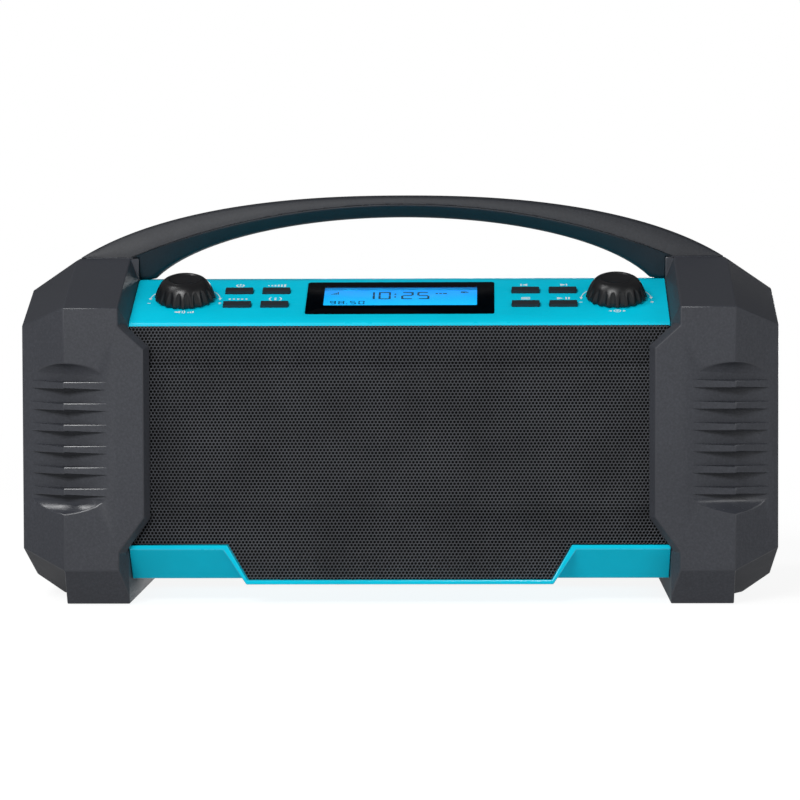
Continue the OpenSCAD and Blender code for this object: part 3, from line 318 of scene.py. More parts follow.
def smooth_plastic(name, colour, rough, coat=0.0, scuff=0.05, shine=0.5):
    """Plastic with a faint orange peel and soft handling marks."""
    f = Finish(name).set(Specular_IOR_Level=shine)
    broad = f.noise(22, 4, 0.6)
    f.colours(broad, (0.3, shaded(colour, 0.94)), (0.7, shaded(colour, 1.05)))
    marks = f.noise(160, 2, 0.5, (1, 3, 1))
    f.roughness(marks, rough - scuff, rough + scuff)
    f.set(Coat_Weight=coat, Coat_Roughness=0.15)
    f.bump(f.noise(900, 2, 0.5), 0.12, 0.03)
    return f.mat


def rubber(name, colour, rough=0.75):
    f = Finish(name)
    dust = f.noise(60, 5, 0.65)
    f.colours(dust, (0.35, shaded(colour, 0.85)), (0.8, shaded(colour, 1.35)))
    f.roughness(dust, rough - 0.08, rough + 0.1)
    f.set(Specular_IOR_Level=0.35)
    f.bump(f.noise(1500, 3, 0.6), 0.4, 0.06)
    return f.mat


def metal(name, colour, rough, brush=(1, 1, 30), depth=0.01):
    f = Finish(name)
    lines = f.noise(300, 3, 0.6, brush)
    f.colours(lines, (0.3, shaded(colour, 0.88)), (0.7, shaded(colour, 1.06)))
    f.roughness(lines, rough - 0.06, rough + 0.1)
    f.set(Metallic=1.0)
    f.bump(lines, 0.25, depth)
    return f.mat


def powder_coat(name, colour, rough):
    """Baked powder paint with its orange peel."""
    f = Finish(name)
    peel = f.noise(700, 2, 0.5)
    f.colours(f.noise(40, 3), (0.3, shaded(colour, 0.85)), (0.7, shaded(colour, 1.15)))
    f.roughness(peel, rough - 0.06, rough + 0.08)
    f.bump(peel, 0.35, 0.04)
    return f.mat


TEAL = srgb(0, 202, 232)
CHARCOAL = srgb(57, 59, 65)
CHARCOAL_HANDLE = srgb(40, 42, 47)
GRILLE = srgb(80, 82, 87)
BUTTON = srgb(38, 42, 47)
# roughness, grain size and grain depth of the caps' etched faces
ETCHED = 0.52, 820, 0.10

teal_plastic = smooth_plastic("teal_plastic", TEAL, 0.42, shine=0.1)
charcoal_plastic = textured_plastic("charcoal_plastic", CHARCOAL, *ETCHED)
rear_plastic = textured_plastic("rear_plastic", srgb(54, 56, 61), 0.55, 820, 0.10)
grip_plastic = textured_plastic("grip_plastic", srgb(40, 44, 50), 0.5, 1000, 0.05, 0.08)
grille_paint = powder_coat("grille_paint", GRILLE, 0.4)
crease_paint = powder_coat("crease_paint", GRILLE, 0.5)
# painted shade: the walls of the grille's holes are coloured nearly black, though the sheet's own
# paint is GRILLE
painted_shade_hole_walls = powder_coat("painted_shade_hole_walls", srgb(9, 9, 10), 0.7)
ridge_paint = powder_coat("ridge_paint", GRILLE, 0.2)
baffle_felt = rubber("baffle_felt", srgb(10, 10, 11), 0.95)
button_plastic = smooth_plastic("button_plastic", BUTTON, 0.42, shine=0.4)
button_edge = smooth_plastic("button_edge", BUTTON, 0.28, shine=0.5)
knob_plastic = smooth_plastic("knob_plastic", srgb(24, 24, 26), 0.33, shine=0.42)
lens_black = smooth_plastic("lens_black", srgb(1, 2, 5), 0.1, scuff=0.03, shine=0.04)
pad_rubber = rubber("pad_rubber", srgb(32, 32, 33))
mast_rubber = rubber("mast_rubber", srgb(28, 28, 30), 0.62)
surround_rubber = rubber("surround_rubber", srgb(24, 24, 25), 0.6)
dark_plastic = smooth_plastic("dark_plastic", srgb(32, 32, 34), 0.4)
screw_steel = metal("screw_steel", srgb(120, 120, 122), 0.35)
socket_metal = metal("socket_metal", srgb(190, 190, 192), 0.25, (30, 1, 1))
basket_paint = powder_coat("basket_paint", srgb(60, 60, 62), 0.4)
magnet_steel = metal("magnet_steel", srgb(110, 110, 114), 0.4)
cone_paper = rubber("cone_paper", srgb(38, 38, 38), 0.8)
copper = metal("copper_winding", srgb(184, 115, 70), 0.3, (1, 200, 1), 0.05)
turned_aluminium = metal("turned_aluminium", srgb(200, 200, 203), 0.25)
heatsink = metal("heatsink", srgb(90, 90, 94), 0.45)
board_green = smooth_plastic("board_green", srgb(22, 84, 44), 0.35)
sleeve_blue = smooth_plastic("sleeve_blue", srgb(20, 60, 150), 0.25, coat=0.3)
light_guide = smooth_plastic("light_guide", srgb(215, 215, 210), 0.2)
white_ink = smooth_plastic("white_ink", srgb(235, 238, 240), 0.5)
handle_plastic = textured_plastic("handle_plastic", CHARCOAL_HANDLE, 0.5, 820, 0.08)
shoulder_plastic = textured_plastic("shoulder_plastic", CHARCOAL, 0.5, 1100, 0.05, 0.08)
# edges, crests, ridges and scoops have the colour of their moulding and are smoother and glossier
edge_plastic = smooth_plastic("edge_plastic", CHARCOAL, 0.36)
crest_plastic = smooth_plastic("crest_plastic", CHARCOAL, 0.26)
ridge_plastic = smooth_plastic("ridge_plastic", CHARCOAL_HANDLE, 0.28)
scoop_plastic = smooth_plastic("scoop_plastic", CHARCOAL, 0.24)
facet_plastic = textured_plastic("facet_plastic", CHARCOAL, *ETCHED)
foot_plastic = textured_plastic("foot_plastic", CHARCOAL, *ETCHED)
under_plastic = textured_plastic("under_plastic", CHARCOAL, 0.6, 820, 0.10, shine=0.2)
roof_plastic = textured_plastic("roof_plastic", CHARCOAL, 0.55, 1100, 0.05, 0.08, 0.3)
teal_edge = smooth_plastic("teal_edge", TEAL, 0.3, coat=0.2)


def clear_window(name):
    """Clear pane with faint hairline scratches."""
    f = Finish(name)
    lines = f.noise(120, 3, 0.5, (1, 12, 12))
    f.roughness(lines, 0.01, 0.03)
    f.colours(f.noise(9, 2), (0.3, (0.95, 0.97, 1.0, 1)), (0.7, (1, 1, 1, 1)))
    f.set(Transmission_Weight=1.0, IOR=1.2)
    f.bump(lines, 0.02, 0.005)
    return f.mat


def lit_glass(name, deep, bright, strength):
    """Liquid crystal glass lit from below, a little darker towards its far edge."""
    f = Finish(name)
    place = f.node("ShaderNodeMapping")
    place.inputs["Location"].default_value = (0, 0, -on_panel(0, 44)[2] * MM)
    f.link(f.where, place.inputs["Vector"])
    split = f.node("ShaderNodeSeparateXYZ")
    f.link(place.outputs[0], split.inputs[0])
    rise = f.node("ShaderNodeMapRange")
    rise.inputs["From Min"].default_value = -0.006
    rise.inputs["From Max"].default_value = 0.004
    f.link(split.outputs["Z"], rise.inputs["Value"])
    patchy = f.noise(30, 2)
    ramp = f.node("ShaderNodeValToRGB")
    ramp.color_ramp.elements[0].color = bright
    ramp.color_ramp.elements[1].color = deep
    f.link(rise.outputs["Result"], ramp.inputs["Fac"])
    glow = f.node("ShaderNodeMix", data_type="RGBA", blend_type="MULTIPLY")
    glow.inputs["Factor"].default_value = 0.1
    f.link(ramp.outputs["Color"], glow.inputs["A"])
    f.link(patchy, glow.inputs["B"])
    f.link(glow.outputs["Result"], f.bsdf.inputs["Emission Color"])
    f.set(Emission_Strength=strength, Roughness=0.3, Base_Color=(0.01, 0.05, 0.1, 1))
    f.bump(f.noise(2500, 1), 0.05, 0.005)
    return f.mat


window_clear = clear_window("window_clear")
lcd_blue = lit_glass("lcd_blue", srgb(4, 118, 236), srgb(14, 184, 255), 1.35)
lcd_dark = smooth_plastic("lcd_dark", srgb(8, 26, 52), 0.4)


# ------------------------------------------------------------------ end caps and housing

def finish_cap_faces(obj):
    """Finishes of a cap, all of one colour: the facets are grained, the shoulders and the roof more
    finely, and the horizontal crests and the lower scoops are smooth."""
    shoulder, roof, scoop, facet, foot, under, crest = range(2, 9)
    for m in (shoulder_plastic, roof_plastic, scoop_plastic, facet_plastic, foot_plastic,
              under_plastic, crest_plastic):
        obj.data.materials.append(m)
    for p in obj.data.polygons:
        c, n = p.center / MM, p.normal
        at_grip = 46 < c.z < 120 and abs(c.x) > 150 and abs(c.y) > 60
        if p.material_index == 1:
            if n.z > 0.25 and (at_grip or (abs(n.x) < 0.1 and c.z > 130)):
                p.material_index = crest
            elif c.z > 141:
                p.material_index = shoulder
        elif n.y < -0.9 and c.z > 150:
            p.material_index = roof
        elif n.z > 0.3 and c.z > 145:
            p.material_index = shoulder if abs(n.x) < 0.3 else roof
        elif n.z > 0.2 and at_grip and c.z < 58.5:
            p.material_index = scoop
        elif c.z < 28 and abs(n.y) > 0.7 and abs(n.x) < 0.2:
            p.material_index = foot
        elif n.z < -0.2 and abs(n.x) > 0.3 and abs(c.x) > 165:
            p.material_index = under
        elif abs(n.x) > 0.5 and abs(n.z) < 0.2 and abs(c.x) > 176:
            p.material_index = facet


for cap in ("left", "right"):
    cap_copy = moulded_copy(cap + "_end_cap", cap + "_cap_moulding", charcoal_plastic, 0.5,
                            edge=edge_plastic)
    finish_cap_faces(cap_copy)


def build_seam_rim(side, name):
    """Fine rounded rim of the cap along the handle's foot."""
    r, sides, outer_x = 0.38, 8, 171.5
    rings = []
    for x in (side * (SIDE_X + 3.4), side * outer_x):
        rings.append([(x, -SEAM_Y - 0.05 + r * math.cos(a), SEAM_Z + 0.1 + r * math.sin(a))
                      for a in (2 * math.pi * i / sides for i in range(sides))])
    rim = loft(name, rings, crest_plastic)
    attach(rim, "cabinet")


front = moulded_copy("front_housing", "front_moulding", teal_plastic, 0.45, edge=teal_edge)
moulded_copy("rear_cover", "rear_moulding", rear_plastic, 0.45)


def felt_on_baffle(obj):
    """Black felt on the flat face behind the grille."""
    obj.data.materials.append(baffle_felt)
    lo_z, hi_z = 13.0, PANEL_Z - 1.6
    for p in obj.data.polygons:
        c = p.center / MM
        if p.normal.y < -0.9 and -PLATE_Y - 0.3 < c.y < -60 and lo_z < c.z < hi_z:
            p.material_index = 2


felt_on_baffle(front)


# ------------------------------------------------------------------ handle

HANDLE_CROWN, SHELL_T, GRIP_T = 216.8, 5.0, 6.9
HANDLE_LEAN = math.radians(10)
CORNER_DROP, CORNER_RUN, ROOF_ANGLE = 9.7, 49, math.radians(34.5)
ROOF_Z = FACE_TOP - CORNER_DROP + CORNER_RUN * math.tan(SLOPE)
SHELL_END = HALF_W - (SEAM_Z - ROOF_Z) / math.tan(ROOF_ANGLE) - 0.6
# points round the shell's section, and the four strips of them that form its lower rims
SHELL_POINTS, SHELL_RIMS = 14, (0, 1, 11, 12)


def arch(x, crown, half, end_x, end_z, power=2.0):
    """Arch through the height end_z at end_x; an ellipse where the power is 2."""
    def drop(t):
        return 1 - math.sqrt(max(0.0, 1 - abs(t) ** power))
    return crown - (crown - end_z) * drop(x / half) / drop(end_x / half)


def top_z(x):
    return arch(x, HANDLE_CROWN, HALF_W, SHELL_END, SEAM_Z + 0.5, 2.3)


def ridge_z(x):
    return max(SEAM_Z, arch(x, HANDLE_CROWN - SHELL_T, HALF_W * 1.5, COLUMN_X, SEAM_Z))


def belly_z(x):
    crown = HANDLE_CROWN - SHELL_T - GRIP_T
    return max(DECK_Z, arch(min(abs(x), CAP_X), crown, CAP_X + 0.8, CAP_X - 6.8, DECK_Z))


def handle_y(z):
    return SEAM_Y - (z - SEAM_Z) * math.tan(HANDLE_LEAN)


def smooth_curve(points, steps):
    """Catmull-Rom curve through the points."""
    ends = [points[0]] + points + [points[-1]]
    out = []
    for i in range(len(points) - 1):
        a, b, c, d = (np.array(ends[i + k], float) for k in range(4))
        for s in range(steps):
            t = s / steps
            out.append(tuple(0.5 * (2 * b + (c - a) * t + (2 * a - 5 * b + 4 * c - d) * t * t
                                    + (3 * b - a - 3 * c + d) * t ** 3)))
    return out + [points[-1]]


def loft(name, rings, material, smooth=40):
    """Closed skin through rings of points with the same count."""
    n = len(rings[0])
    points = [p for ring in rings for p in ring]
    faces = [(i * n + j, i * n + (j + 1) % n, (i + 1) * n + (j + 1) % n, (i + 1) * n + j)
             for i in range(len(rings) - 1) for j in range(n)]
    faces.append(tuple(range(n - 1, -1, -1)))
    faces.append(tuple((len(rings) - 1) * n + j for j in range(n)))
    obj = new_object(name, outward(mesh_of(name, points, faces)), material)
    shade(obj, smooth)
    return obj


def shell_ring(x):
    zr, zt = ridge_z(x), top_z(x)
    e = min(1.8, (zt - zr) / 3)
    low = min(0.9, (zt - zr) / 4)
    half = [(handle_y(zr) - 0.7, zr), (handle_y(zr) - 0.15, zr + low * 0.3),
            (handle_y(zr + low), zr + low), (handle_y(zt - e), zt - e),
            (handle_y(zt) - e * 0.18, zt - e * 0.5), (handle_y(zt) - e * 0.6, zt - e * 0.16),
            (handle_y(zt) - e * 1.6, zt)]
    return [(x, -y, z) for y, z in half] + [(x, y, z) for y, z in reversed(half)]


def grip_ring(x):
    zr, zb = ridge_z(x), belly_z(x)
    yr, d = handle_y(zr), zr - zb
    yb = 3 + 9 * (x / SIDE_X) ** 2
    half = smooth_curve([(yr - 0.2, zr), (yr - 0.7, zr - min(1.2, d / 4)),
                         (yr + (yb - yr) * 0.55, zb + d * 0.3),
                         (yr + (yb - yr) * 0.85, zb + d * 0.06), (yb * 0.5, zb)], 4)
    return [(x, y, z) for y, z in half] + [(x, -y, z) for y, z in reversed(half)]


def grip_tip_ring(x):
    """Section of the grip's end, which rests on the cap."""
    return [(x, y, max(z, SEAM_Z)) for _, y, z in grip_ring(x)]


def build_handle():
    inner = [SIDE_X * i / 40 for i in range(-40, 41)]
    outer = [SIDE_X + 2.4, COLUMN_X] + [COLUMN_X + (SHELL_END - COLUMN_X) * i / 9
                                        for i in range(1, 10)]
    stations = [-x for x in reversed(outer)] + inner + outer
    shell = loft("handle_shell", [shell_ring(x) for x in stations], handle_plastic)
    shell.data.materials.append(ridge_plastic)
    for p in shell.data.polygons:
        if len(p.vertices) == 4 and p.index % SHELL_POINTS in SHELL_RIMS:
            p.material_index = 1
    tip = [SIDE_X + 0.02, SIDE_X + 2.4, COLUMN_X - 0.5]
    rings = ([grip_tip_ring(-x) for x in reversed(tip)] + [grip_ring(x) for x in inner]
             + [grip_tip_ring(x) for x in tip])
    grip = loft("handle_grip_skin", rings, grip_plastic, 50)
    for obj, node in ((shell, "handle_upper"), (grip, "handle_grip")):
        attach(obj, "cabinet")
        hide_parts(node)


build_handle()
build_seam_rim(-1, "left_seam_rim")
build_seam_rim(1, "right_seam_rim")


# ------------------------------------------------------------------ perforated grille

GRILLE_TOP = PANEL_Z - 1.8
GRILLE_LOW = 13.5
ROOT_Z = 32.0
TONGUE_ROOT, TONGUE_TIP = 90.7, 80.1
SHEET_T = 0.9
# height and depth of the pressed sheet's front, from its top edge down
SHEET_FORM = [(GRILLE_TOP, 80.5), (129.4, 81.2), (128.8, 82.3), (128.1, 82.3), (127.5, 81.2),
              (124.6, 83.9), (123.8, 84.0), (53.2, 84.0), (52.4, 83.9), (48.6, 81.9),
              (GRILLE_LOW, 80.5)]
RIDGES, CREASE = (124.2, 52.6), 128.4
# how far the web between the holes is rolled in at their edges
RIM_ROLL = 0.24
# a cell is a strip of points, so many round its hole and so many from its rim to the back
ROUND, ACROSS = 7, 4
CELL_POINTS, CELL_FACES = ROUND * ACROSS, (ROUND - 1) * (ACROSS - 1)


def hole_cell_tree():
    """Rows of hexagonal cells, each with its hole; the sheet lies in X-Y and its back is at -Z."""
    tree = bpy.data.node_groups.new("perforation", "GeometryNodeTree")
    face = tree.interface

    def entry(name, kind, value):
        item = face.new_socket(name=name, in_out="INPUT", socket_type=kind)
        if value is not None:
            item.default_value = value
        return item

    face.new_socket(name="Geometry", in_out="INPUT", socket_type="NodeSocketGeometry")
    entry("Columns", "NodeSocketInt", 10)
    entry("Rows", "NodeSocketInt", 10)
    entry("Pitch", "NodeSocketFloat", 0.00188)
    entry("Row Pitch", "NodeSocketFloat", 0.00163)
    entry("Hole Radius", "NodeSocketFloat", 0.0006)
    entry("Sheet Thickness", "NodeSocketFloat", 0.0009)
    entry("Finish", "NodeSocketMaterial", None)
    face.new_socket(name="Geometry", in_out="OUTPUT", socket_type="NodeSocketGeometry")
    nodes, links = tree.nodes, tree.links
    given = nodes.new("NodeGroupInput").outputs
    out = nodes.new("NodeGroupOutput")

    def calc(operation, a, b=None):
        n = nodes.new("ShaderNodeMath")
        n.operation = operation
        for socket, value in zip(n.inputs, (a, b)):
            if value is None:
                continue
            if isinstance(value, (int, float)):
                socket.default_value = value
            else:
                links.new(value, socket)
        return n.outputs[0]

    index = nodes.new("GeometryNodeInputIndex").outputs[0]

    # one cell: the strip bent into a ring of front, hole wall and back
    strip = nodes.new("GeometryNodeMeshGrid")
    strip.inputs["Vertices X"].default_value = ROUND
    strip.inputs["Vertices Y"].default_value = ACROSS
    around = calc("FLOOR", calc("DIVIDE", index, ACROSS))
    across = calc("MODULO", index, ACROSS)
    angle = calc("MULTIPLY_ADD", around, math.pi / 3)
    angle.node.inputs[2].default_value = math.pi / 6
    is_hole = calc("COMPARE", across, 1.5)
    is_hole.node.inputs[2].default_value = 0.6
    rim_r = calc("MULTIPLY", given["Pitch"], 1 / math.sqrt(3))
    gap = calc("SUBTRACT", given["Hole Radius"], rim_r)
    radius = calc("MULTIPLY_ADD", is_hole, gap)
    links.new(rim_r, radius.node.inputs[2])
    back = calc("GREATER_THAN", across, 1.5)
    depth = calc("MULTIPLY", calc("MULTIPLY", back, given["Sheet Thickness"]), -1.0)
    place = nodes.new("ShaderNodeCombineXYZ")
    links.new(calc("MULTIPLY", radius, calc("COSINE", angle)), place.inputs[0])
    links.new(calc("MULTIPLY", radius, calc("SINE", angle)), place.inputs[1])
    links.new(depth, place.inputs[2])
    bend = nodes.new("GeometryNodeSetPosition")
    links.new(strip.outputs["Mesh"], bend.inputs["Geometry"])
    links.new(place.outputs[0], bend.inputs["Position"])

    # rows of points, every other row half a pitch along
    field = nodes.new("GeometryNodeMeshGrid")
    links.new(given["Columns"], field.inputs["Vertices X"])
    links.new(given["Rows"], field.inputs["Vertices Y"])
    links.new(calc("MULTIPLY", given["Pitch"], calc("SUBTRACT", given["Columns"], 1.0)),
              field.inputs["Size X"])
    links.new(calc("MULTIPLY", given["Row Pitch"], calc("SUBTRACT", given["Rows"], 1.0)),
              field.inputs["Size Y"])
    odd = calc("MODULO", calc("MODULO", index, given["Rows"]), 2.0)
    shift = nodes.new("ShaderNodeCombineXYZ")
    links.new(calc("MULTIPLY", calc("MULTIPLY", odd, given["Pitch"]), 0.5), shift.inputs[0])
    stagger = nodes.new("GeometryNodeSetPosition")
    links.new(field.outputs["Mesh"], stagger.inputs["Geometry"])
    links.new(shift.outputs[0], stagger.inputs["Offset"])
    spread = nodes.new("GeometryNodeInstanceOnPoints")
    links.new(stagger.outputs[0], spread.inputs["Points"])
    links.new(bend.outputs[0], spread.inputs["Instance"])
    real = nodes.new("GeometryNodeRealizeInstances")
    links.new(spread.outputs[0], real.inputs[0])
    paint = nodes.new("GeometryNodeSetMaterial")
    links.new(real.outputs[0], paint.inputs["Geometry"])
    links.new(given["Finish"], paint.inputs["Material"])
    links.new(paint.outputs[0], out.inputs[0])
    return tree


def tongue_half_width(z):
    """Half width of the sheet's outline at a height."""
    share = np.clip((z - GRILLE_LOW) / (ROOT_Z - GRILLE_LOW), 0, 1)
    slanted = TONGUE_TIP + (TONGUE_ROOT - TONGUE_TIP) * share
    return np.where(z > ROOT_Z, SIDE_X - 1.0, slanted)


def sheet_depth(z):
    heights, depths = zip(*reversed(SHEET_FORM))
    return -np.interp(z, heights, depths)


def build_grille():
    pitch, row_pitch, hole_r = 1.88, 1.63, 0.81
    columns = int(2 * SIDE_X / pitch) + 3
    rows = int((GRILLE_TOP - GRILLE_LOW) / row_pitch) + 3
    blank = new_object("grille_blank", bpy.data.meshes.new("grille_blank"))
    mod = blank.modifiers.new("perforation", "NODES")
    mod.node_group = hole_cell_tree()
    values = {"Columns": columns, "Rows": rows, "Pitch": pitch * MM, "Row Pitch": row_pitch * MM,
              "Hole Radius": hole_r * MM, "Sheet Thickness": SHEET_T * MM, "Finish": grille_paint}
    for item in mod.node_group.interface.items_tree:
        if item.in_out == "INPUT" and item.name in values:
            mod[item.identifier] = values[item.name]
    dg = bpy.context.evaluated_depsgraph_get()
    flat = bpy.data.meshes.new_from_object(blank.evaluated_get(dg))
    blank.modifiers.clear()
    bpy.data.objects.remove(blank)

    count = len(flat.vertices)
    co = np.empty(count * 3, np.float32)
    flat.vertices.foreach_get("co", co)
    co = co.reshape(-1, CELL_POINTS, 3).astype(float) / MM
    corners = np.empty(len(flat.loops), np.int32)
    flat.loops.foreach_get("vertex_index", corners)
    corners = corners.reshape(-1, CELL_FACES, 4)
    mid_z = (GRILLE_TOP + GRILLE_LOW) / 2
    co[:, :, 1] += mid_z
    centre = co.mean(axis=1)
    margin = 0.35
    keep = ((centre[:, 1] < GRILLE_TOP + margin) & (centre[:, 1] > GRILLE_LOW - margin)
            & (np.abs(centre[:, 0]) < tongue_half_width(centre[:, 1]) + margin))
    co, corners = co[keep], corners[keep]
    x, z, back = co[:, :, 0], co[:, :, 1], co[:, :, 2] < -0.1
    cut_z = np.clip(z, GRILLE_LOW, GRILLE_TOP)
    low_strip = (np.abs(x) > TONGUE_ROOT) & (cut_z < ROOT_Z)
    cut_z = np.where(low_strip, ROOT_Z, cut_z)
    limit = tongue_half_width(cut_z)
    cut_x = np.clip(x, -limit, limit)
    edge = (np.abs(cut_x - x) > 1e-6) | (np.abs(cut_z - z) > 1e-6)
    hole_edge = (np.arange(CELL_POINTS) % ACROSS == 1)[None, :] & ~edge
    y = (sheet_depth(cut_z) + np.where(back & ~edge, SHEET_T, 0.0)
         + np.where(hole_edge, RIM_ROLL, 0.0))
    placed = np.stack([cut_x, y, cut_z], axis=2)
    centre_z = placed[:, :, 2].mean(axis=1)
    on_ridge = np.min([np.abs(centre_z - z) for z in RIDGES], axis=0) < row_pitch / 2
    tone = np.where(on_ridge, 1, np.where(np.abs(centre_z - CREASE) < row_pitch / 2, 3, 0))
    bands = {"grille_upper": centre_z > 124.3, "grille_lower": centre_z < 53.0}
    middle = ~(bands["grille_upper"] | bands["grille_lower"])
    bands["grille_middle_left"] = middle & (placed[:, :, 0].mean(axis=1) < 0)
    bands["grille_middle_right"] = middle & ~bands["grille_middle_left"]
    first = corners.reshape(len(corners), -1).min(axis=1)
    local = corners - first[:, None, None]
    pieces = []
    for name, chosen in bands.items():
        pts = placed[chosen].reshape(-1, 3) * MM
        cells = int(chosen.sum())
        quads = (local[chosen] + (np.arange(cells) * CELL_POINTS)[:, None, None]).reshape(-1, 4)
        mesh = bpy.data.meshes.new(name)
        mesh.from_pydata(pts.tolist(), [], quads.tolist())
        for paint in (grille_paint, ridge_paint, painted_shade_hole_walls, crease_paint):
            mesh.materials.append(paint)
        finish = np.repeat(tone[chosen], CELL_FACES).astype(np.int32)
        finish = finish.reshape(-1, ROUND - 1, ACROSS - 1)
        # the hole wall of every cell gets the near-black painted shade instead of the sheet's paint
        finish[:, :, 1] = 2
        mesh.polygons.foreach_set("material_index", finish.ravel())
        bm = bmesh.new()
        bm.from_mesh(mesh)
        bmesh.ops.remove_doubles(bm, verts=bm.verts, dist=2e-5)
        thin = [f for f in bm.faces if f.calc_area() < 1e-10]
        bmesh.ops.delete(bm, geom=thin, context="FACES")
        bm.normal_update()
        front_faces = [f for f in bm.faces if abs(f.normal.y) > 0.8]
        wrong = sum(1 for f in front_faces if (f.normal.y > 0) == (f.calc_center_median().y
                    < sheet_depth(f.calc_center_median().z / MM) * MM + SHEET_T * MM / 2))
        if wrong > len(front_faces) / 2:
            bmesh.ops.reverse_faces(bm, faces=bm.faces)
        bm.to_mesh(mesh)
        bm.free()
        obj = new_object(name, mesh)
        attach(obj, "cabinet")
        pieces.append(obj)
    for obj in pieces:
        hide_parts("speaker_grille")


build_grille()


def build_cloth():
    """Thin black cloth between the grille and the housing, which hides the speakers."""
    w, g = SIDE_X - 1.6, 0.6
    outline = [(-w, ROOT_Z + g), (-TONGUE_ROOT + g, ROOT_Z + g), (-TONGUE_TIP + g, GRILLE_LOW + g),
               (TONGUE_TIP - g, GRILLE_LOW + g), (TONGUE_ROOT - g, ROOT_Z + g), (w, ROOT_Z + g),
               (w, GRILLE_TOP - g), (-w, GRILLE_TOP - g)]
    n = len(outline)
    points = [(x, -PLATE_Y - gap, z) for gap in (0.08, 0.02) for x, z in outline]
    faces = [tuple(range(n)), tuple(range(2 * n - 1, n - 1, -1))]
    faces += [(i, n + i, n + (i + 1) % n, (i + 1) % n) for i in range(n)]
    obj = new_object("grille_cloth", outward(mesh_of("grille_cloth", points, faces)), baffle_felt)
    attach(obj, "cabinet")


build_cloth()


# ------------------------------------------------------------------ knobs and buttons

KNOB_R, KNOB_H, KNOB_TOP_R, KNOB_LOW = 16.3, 12.0, 9.4, 0.9
KNOB_X = SIDE_X - 27.3
PANEL_LEN = (PLATE_Y - DECK_HALF) / math.cos(SLOPE)
KNOB_V = PANEL_LEN / 2 + 2
FLUTES, FLUTE_R = 20, 1.9
SHAFT_R = 3.0


def knob_outline():
    """Radius and height from the dished top, over the shoulder, to the skirt and the bore."""
    rise = KNOB_H - 2.4 - 0.4
    shoulder = []
    for degrees in (90, 80, 70, 62, 56, 50, 45, 40, 35, 30, 25, 20, 15, 10, 5, 0):
        c, s = math.cos(math.radians(degrees)), math.sin(math.radians(degrees))
        r = KNOB_TOP_R + (KNOB_R - 0.3 - KNOB_TOP_R) * (0.6 * c + 0.4 * (1 - s))
        shoulder.append((r, 2.4 + rise * s))
    top = [(0.0, KNOB_H - 1.1), (4.0, KNOB_H - 1.1), (KNOB_TOP_R - 1.9, KNOB_H - 0.95),
           (KNOB_TOP_R - 1.4, KNOB_H - 0.5), (KNOB_TOP_R - 1.05, KNOB_H - 0.12),
           (KNOB_TOP_R - 0.7, KNOB_H), (KNOB_TOP_R - 0.3, KNOB_H - 0.08)]
    skirt = [(KNOB_R, 1.6), (KNOB_R, KNOB_LOW + 0.3),
             (KNOB_R - 0.3, KNOB_LOW), (SHAFT_R + 0.1, KNOB_LOW), (SHAFT_R + 0.1, 9.05),
             (0.0, 9.05)]
    return top + shoulder + skirt


def build_knob(side, node, name):
    per_flute = 14
    around = FLUTES * per_flute
    outline = knob_outline()
    points = []
    for r, h in outline:
        centre_r = KNOB_R + FLUTE_R * 0.3 - 0.28 * max(0.0, h - 2.4)
        for k in range(around):
            off = ((k % per_flute) / per_flute - 0.5) * 2 * math.pi / FLUTES
            reach = centre_r * math.sin(off)
            cut = r
            if abs(reach) < FLUTE_R and h > KNOB_LOW - 0.1 and r > SHAFT_R + 1:
                hollow = centre_r * math.cos(off) - math.sqrt(FLUTE_R ** 2 - reach ** 2)
                cut = min(r, hollow)
            a = (k / around) * 2 * math.pi
            points.append(on_panel(side * KNOB_X + cut * math.cos(a),
                                   KNOB_V + cut * math.sin(a), h))
    faces = [(i * around + k, i * around + (k + 1) % around,
              (i + 1) * around + (k + 1) % around, (i + 1) * around + k)
             for i in range(len(outline) - 1) for k in range(around)]
    obj = new_object(name, outward(mesh_of(name, points, faces)), knob_plastic)
    shade(obj, 48)
    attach(obj, body_of_node(node))
    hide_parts(node)


build_knob(-1, "volume_knob", "volume_knob_cap")
build_knob(1, "tuning_knob", "tuning_knob_cap")

for key in ("power", "mode", "preset", "info", "previous", "next", "menu", "play"):
    moulded_copy(key + "_button", key + "_key", button_plastic, 0.55, segments=3, edge=button_edge)


# ------------------------------------------------------------------ display

LENS_V, LENS_REAR = 11.7, 5.0
BUTTON_W, BUTTON_H, BUTTON_PITCH, ROW_PITCH = 14.8, 6.2, 20.0, 20.2
BUTTON_X = KNOB_X - KNOB_R - 4.7 - BUTTON_W / 2 - BUTTON_PITCH
BUTTON_V = KNOB_V - 9.3
LENS_W = 2 * (BUTTON_X - BUTTON_W / 2 - 9.4)
LENS_H = PANEL_LEN - LENS_V - LENS_REAR
WINDOW_W, WINDOW_H = LENS_W - 18.4, LENS_H - 18.7
WINDOW_V = LENS_V + 12.5 + WINDOW_H / 2


def round_rect(w, h, r, cu=0.0, cv=0.0, steps=6):
    """Outline of a rectangle with round corners, anticlockwise."""
    out = []
    for qu, qv, a0 in ((1, 1, 0), (-1, 1, 90), (-1, -1, 180), (1, -1, 270)):
        for i in range(steps + 1):
            a = math.radians(a0 + 90 * i / steps)
            out.append((cu + qu * (w / 2 - r) + r * math.cos(a),
                        cv + qv * (h / 2 - r) + r * math.sin(a)))
    return out


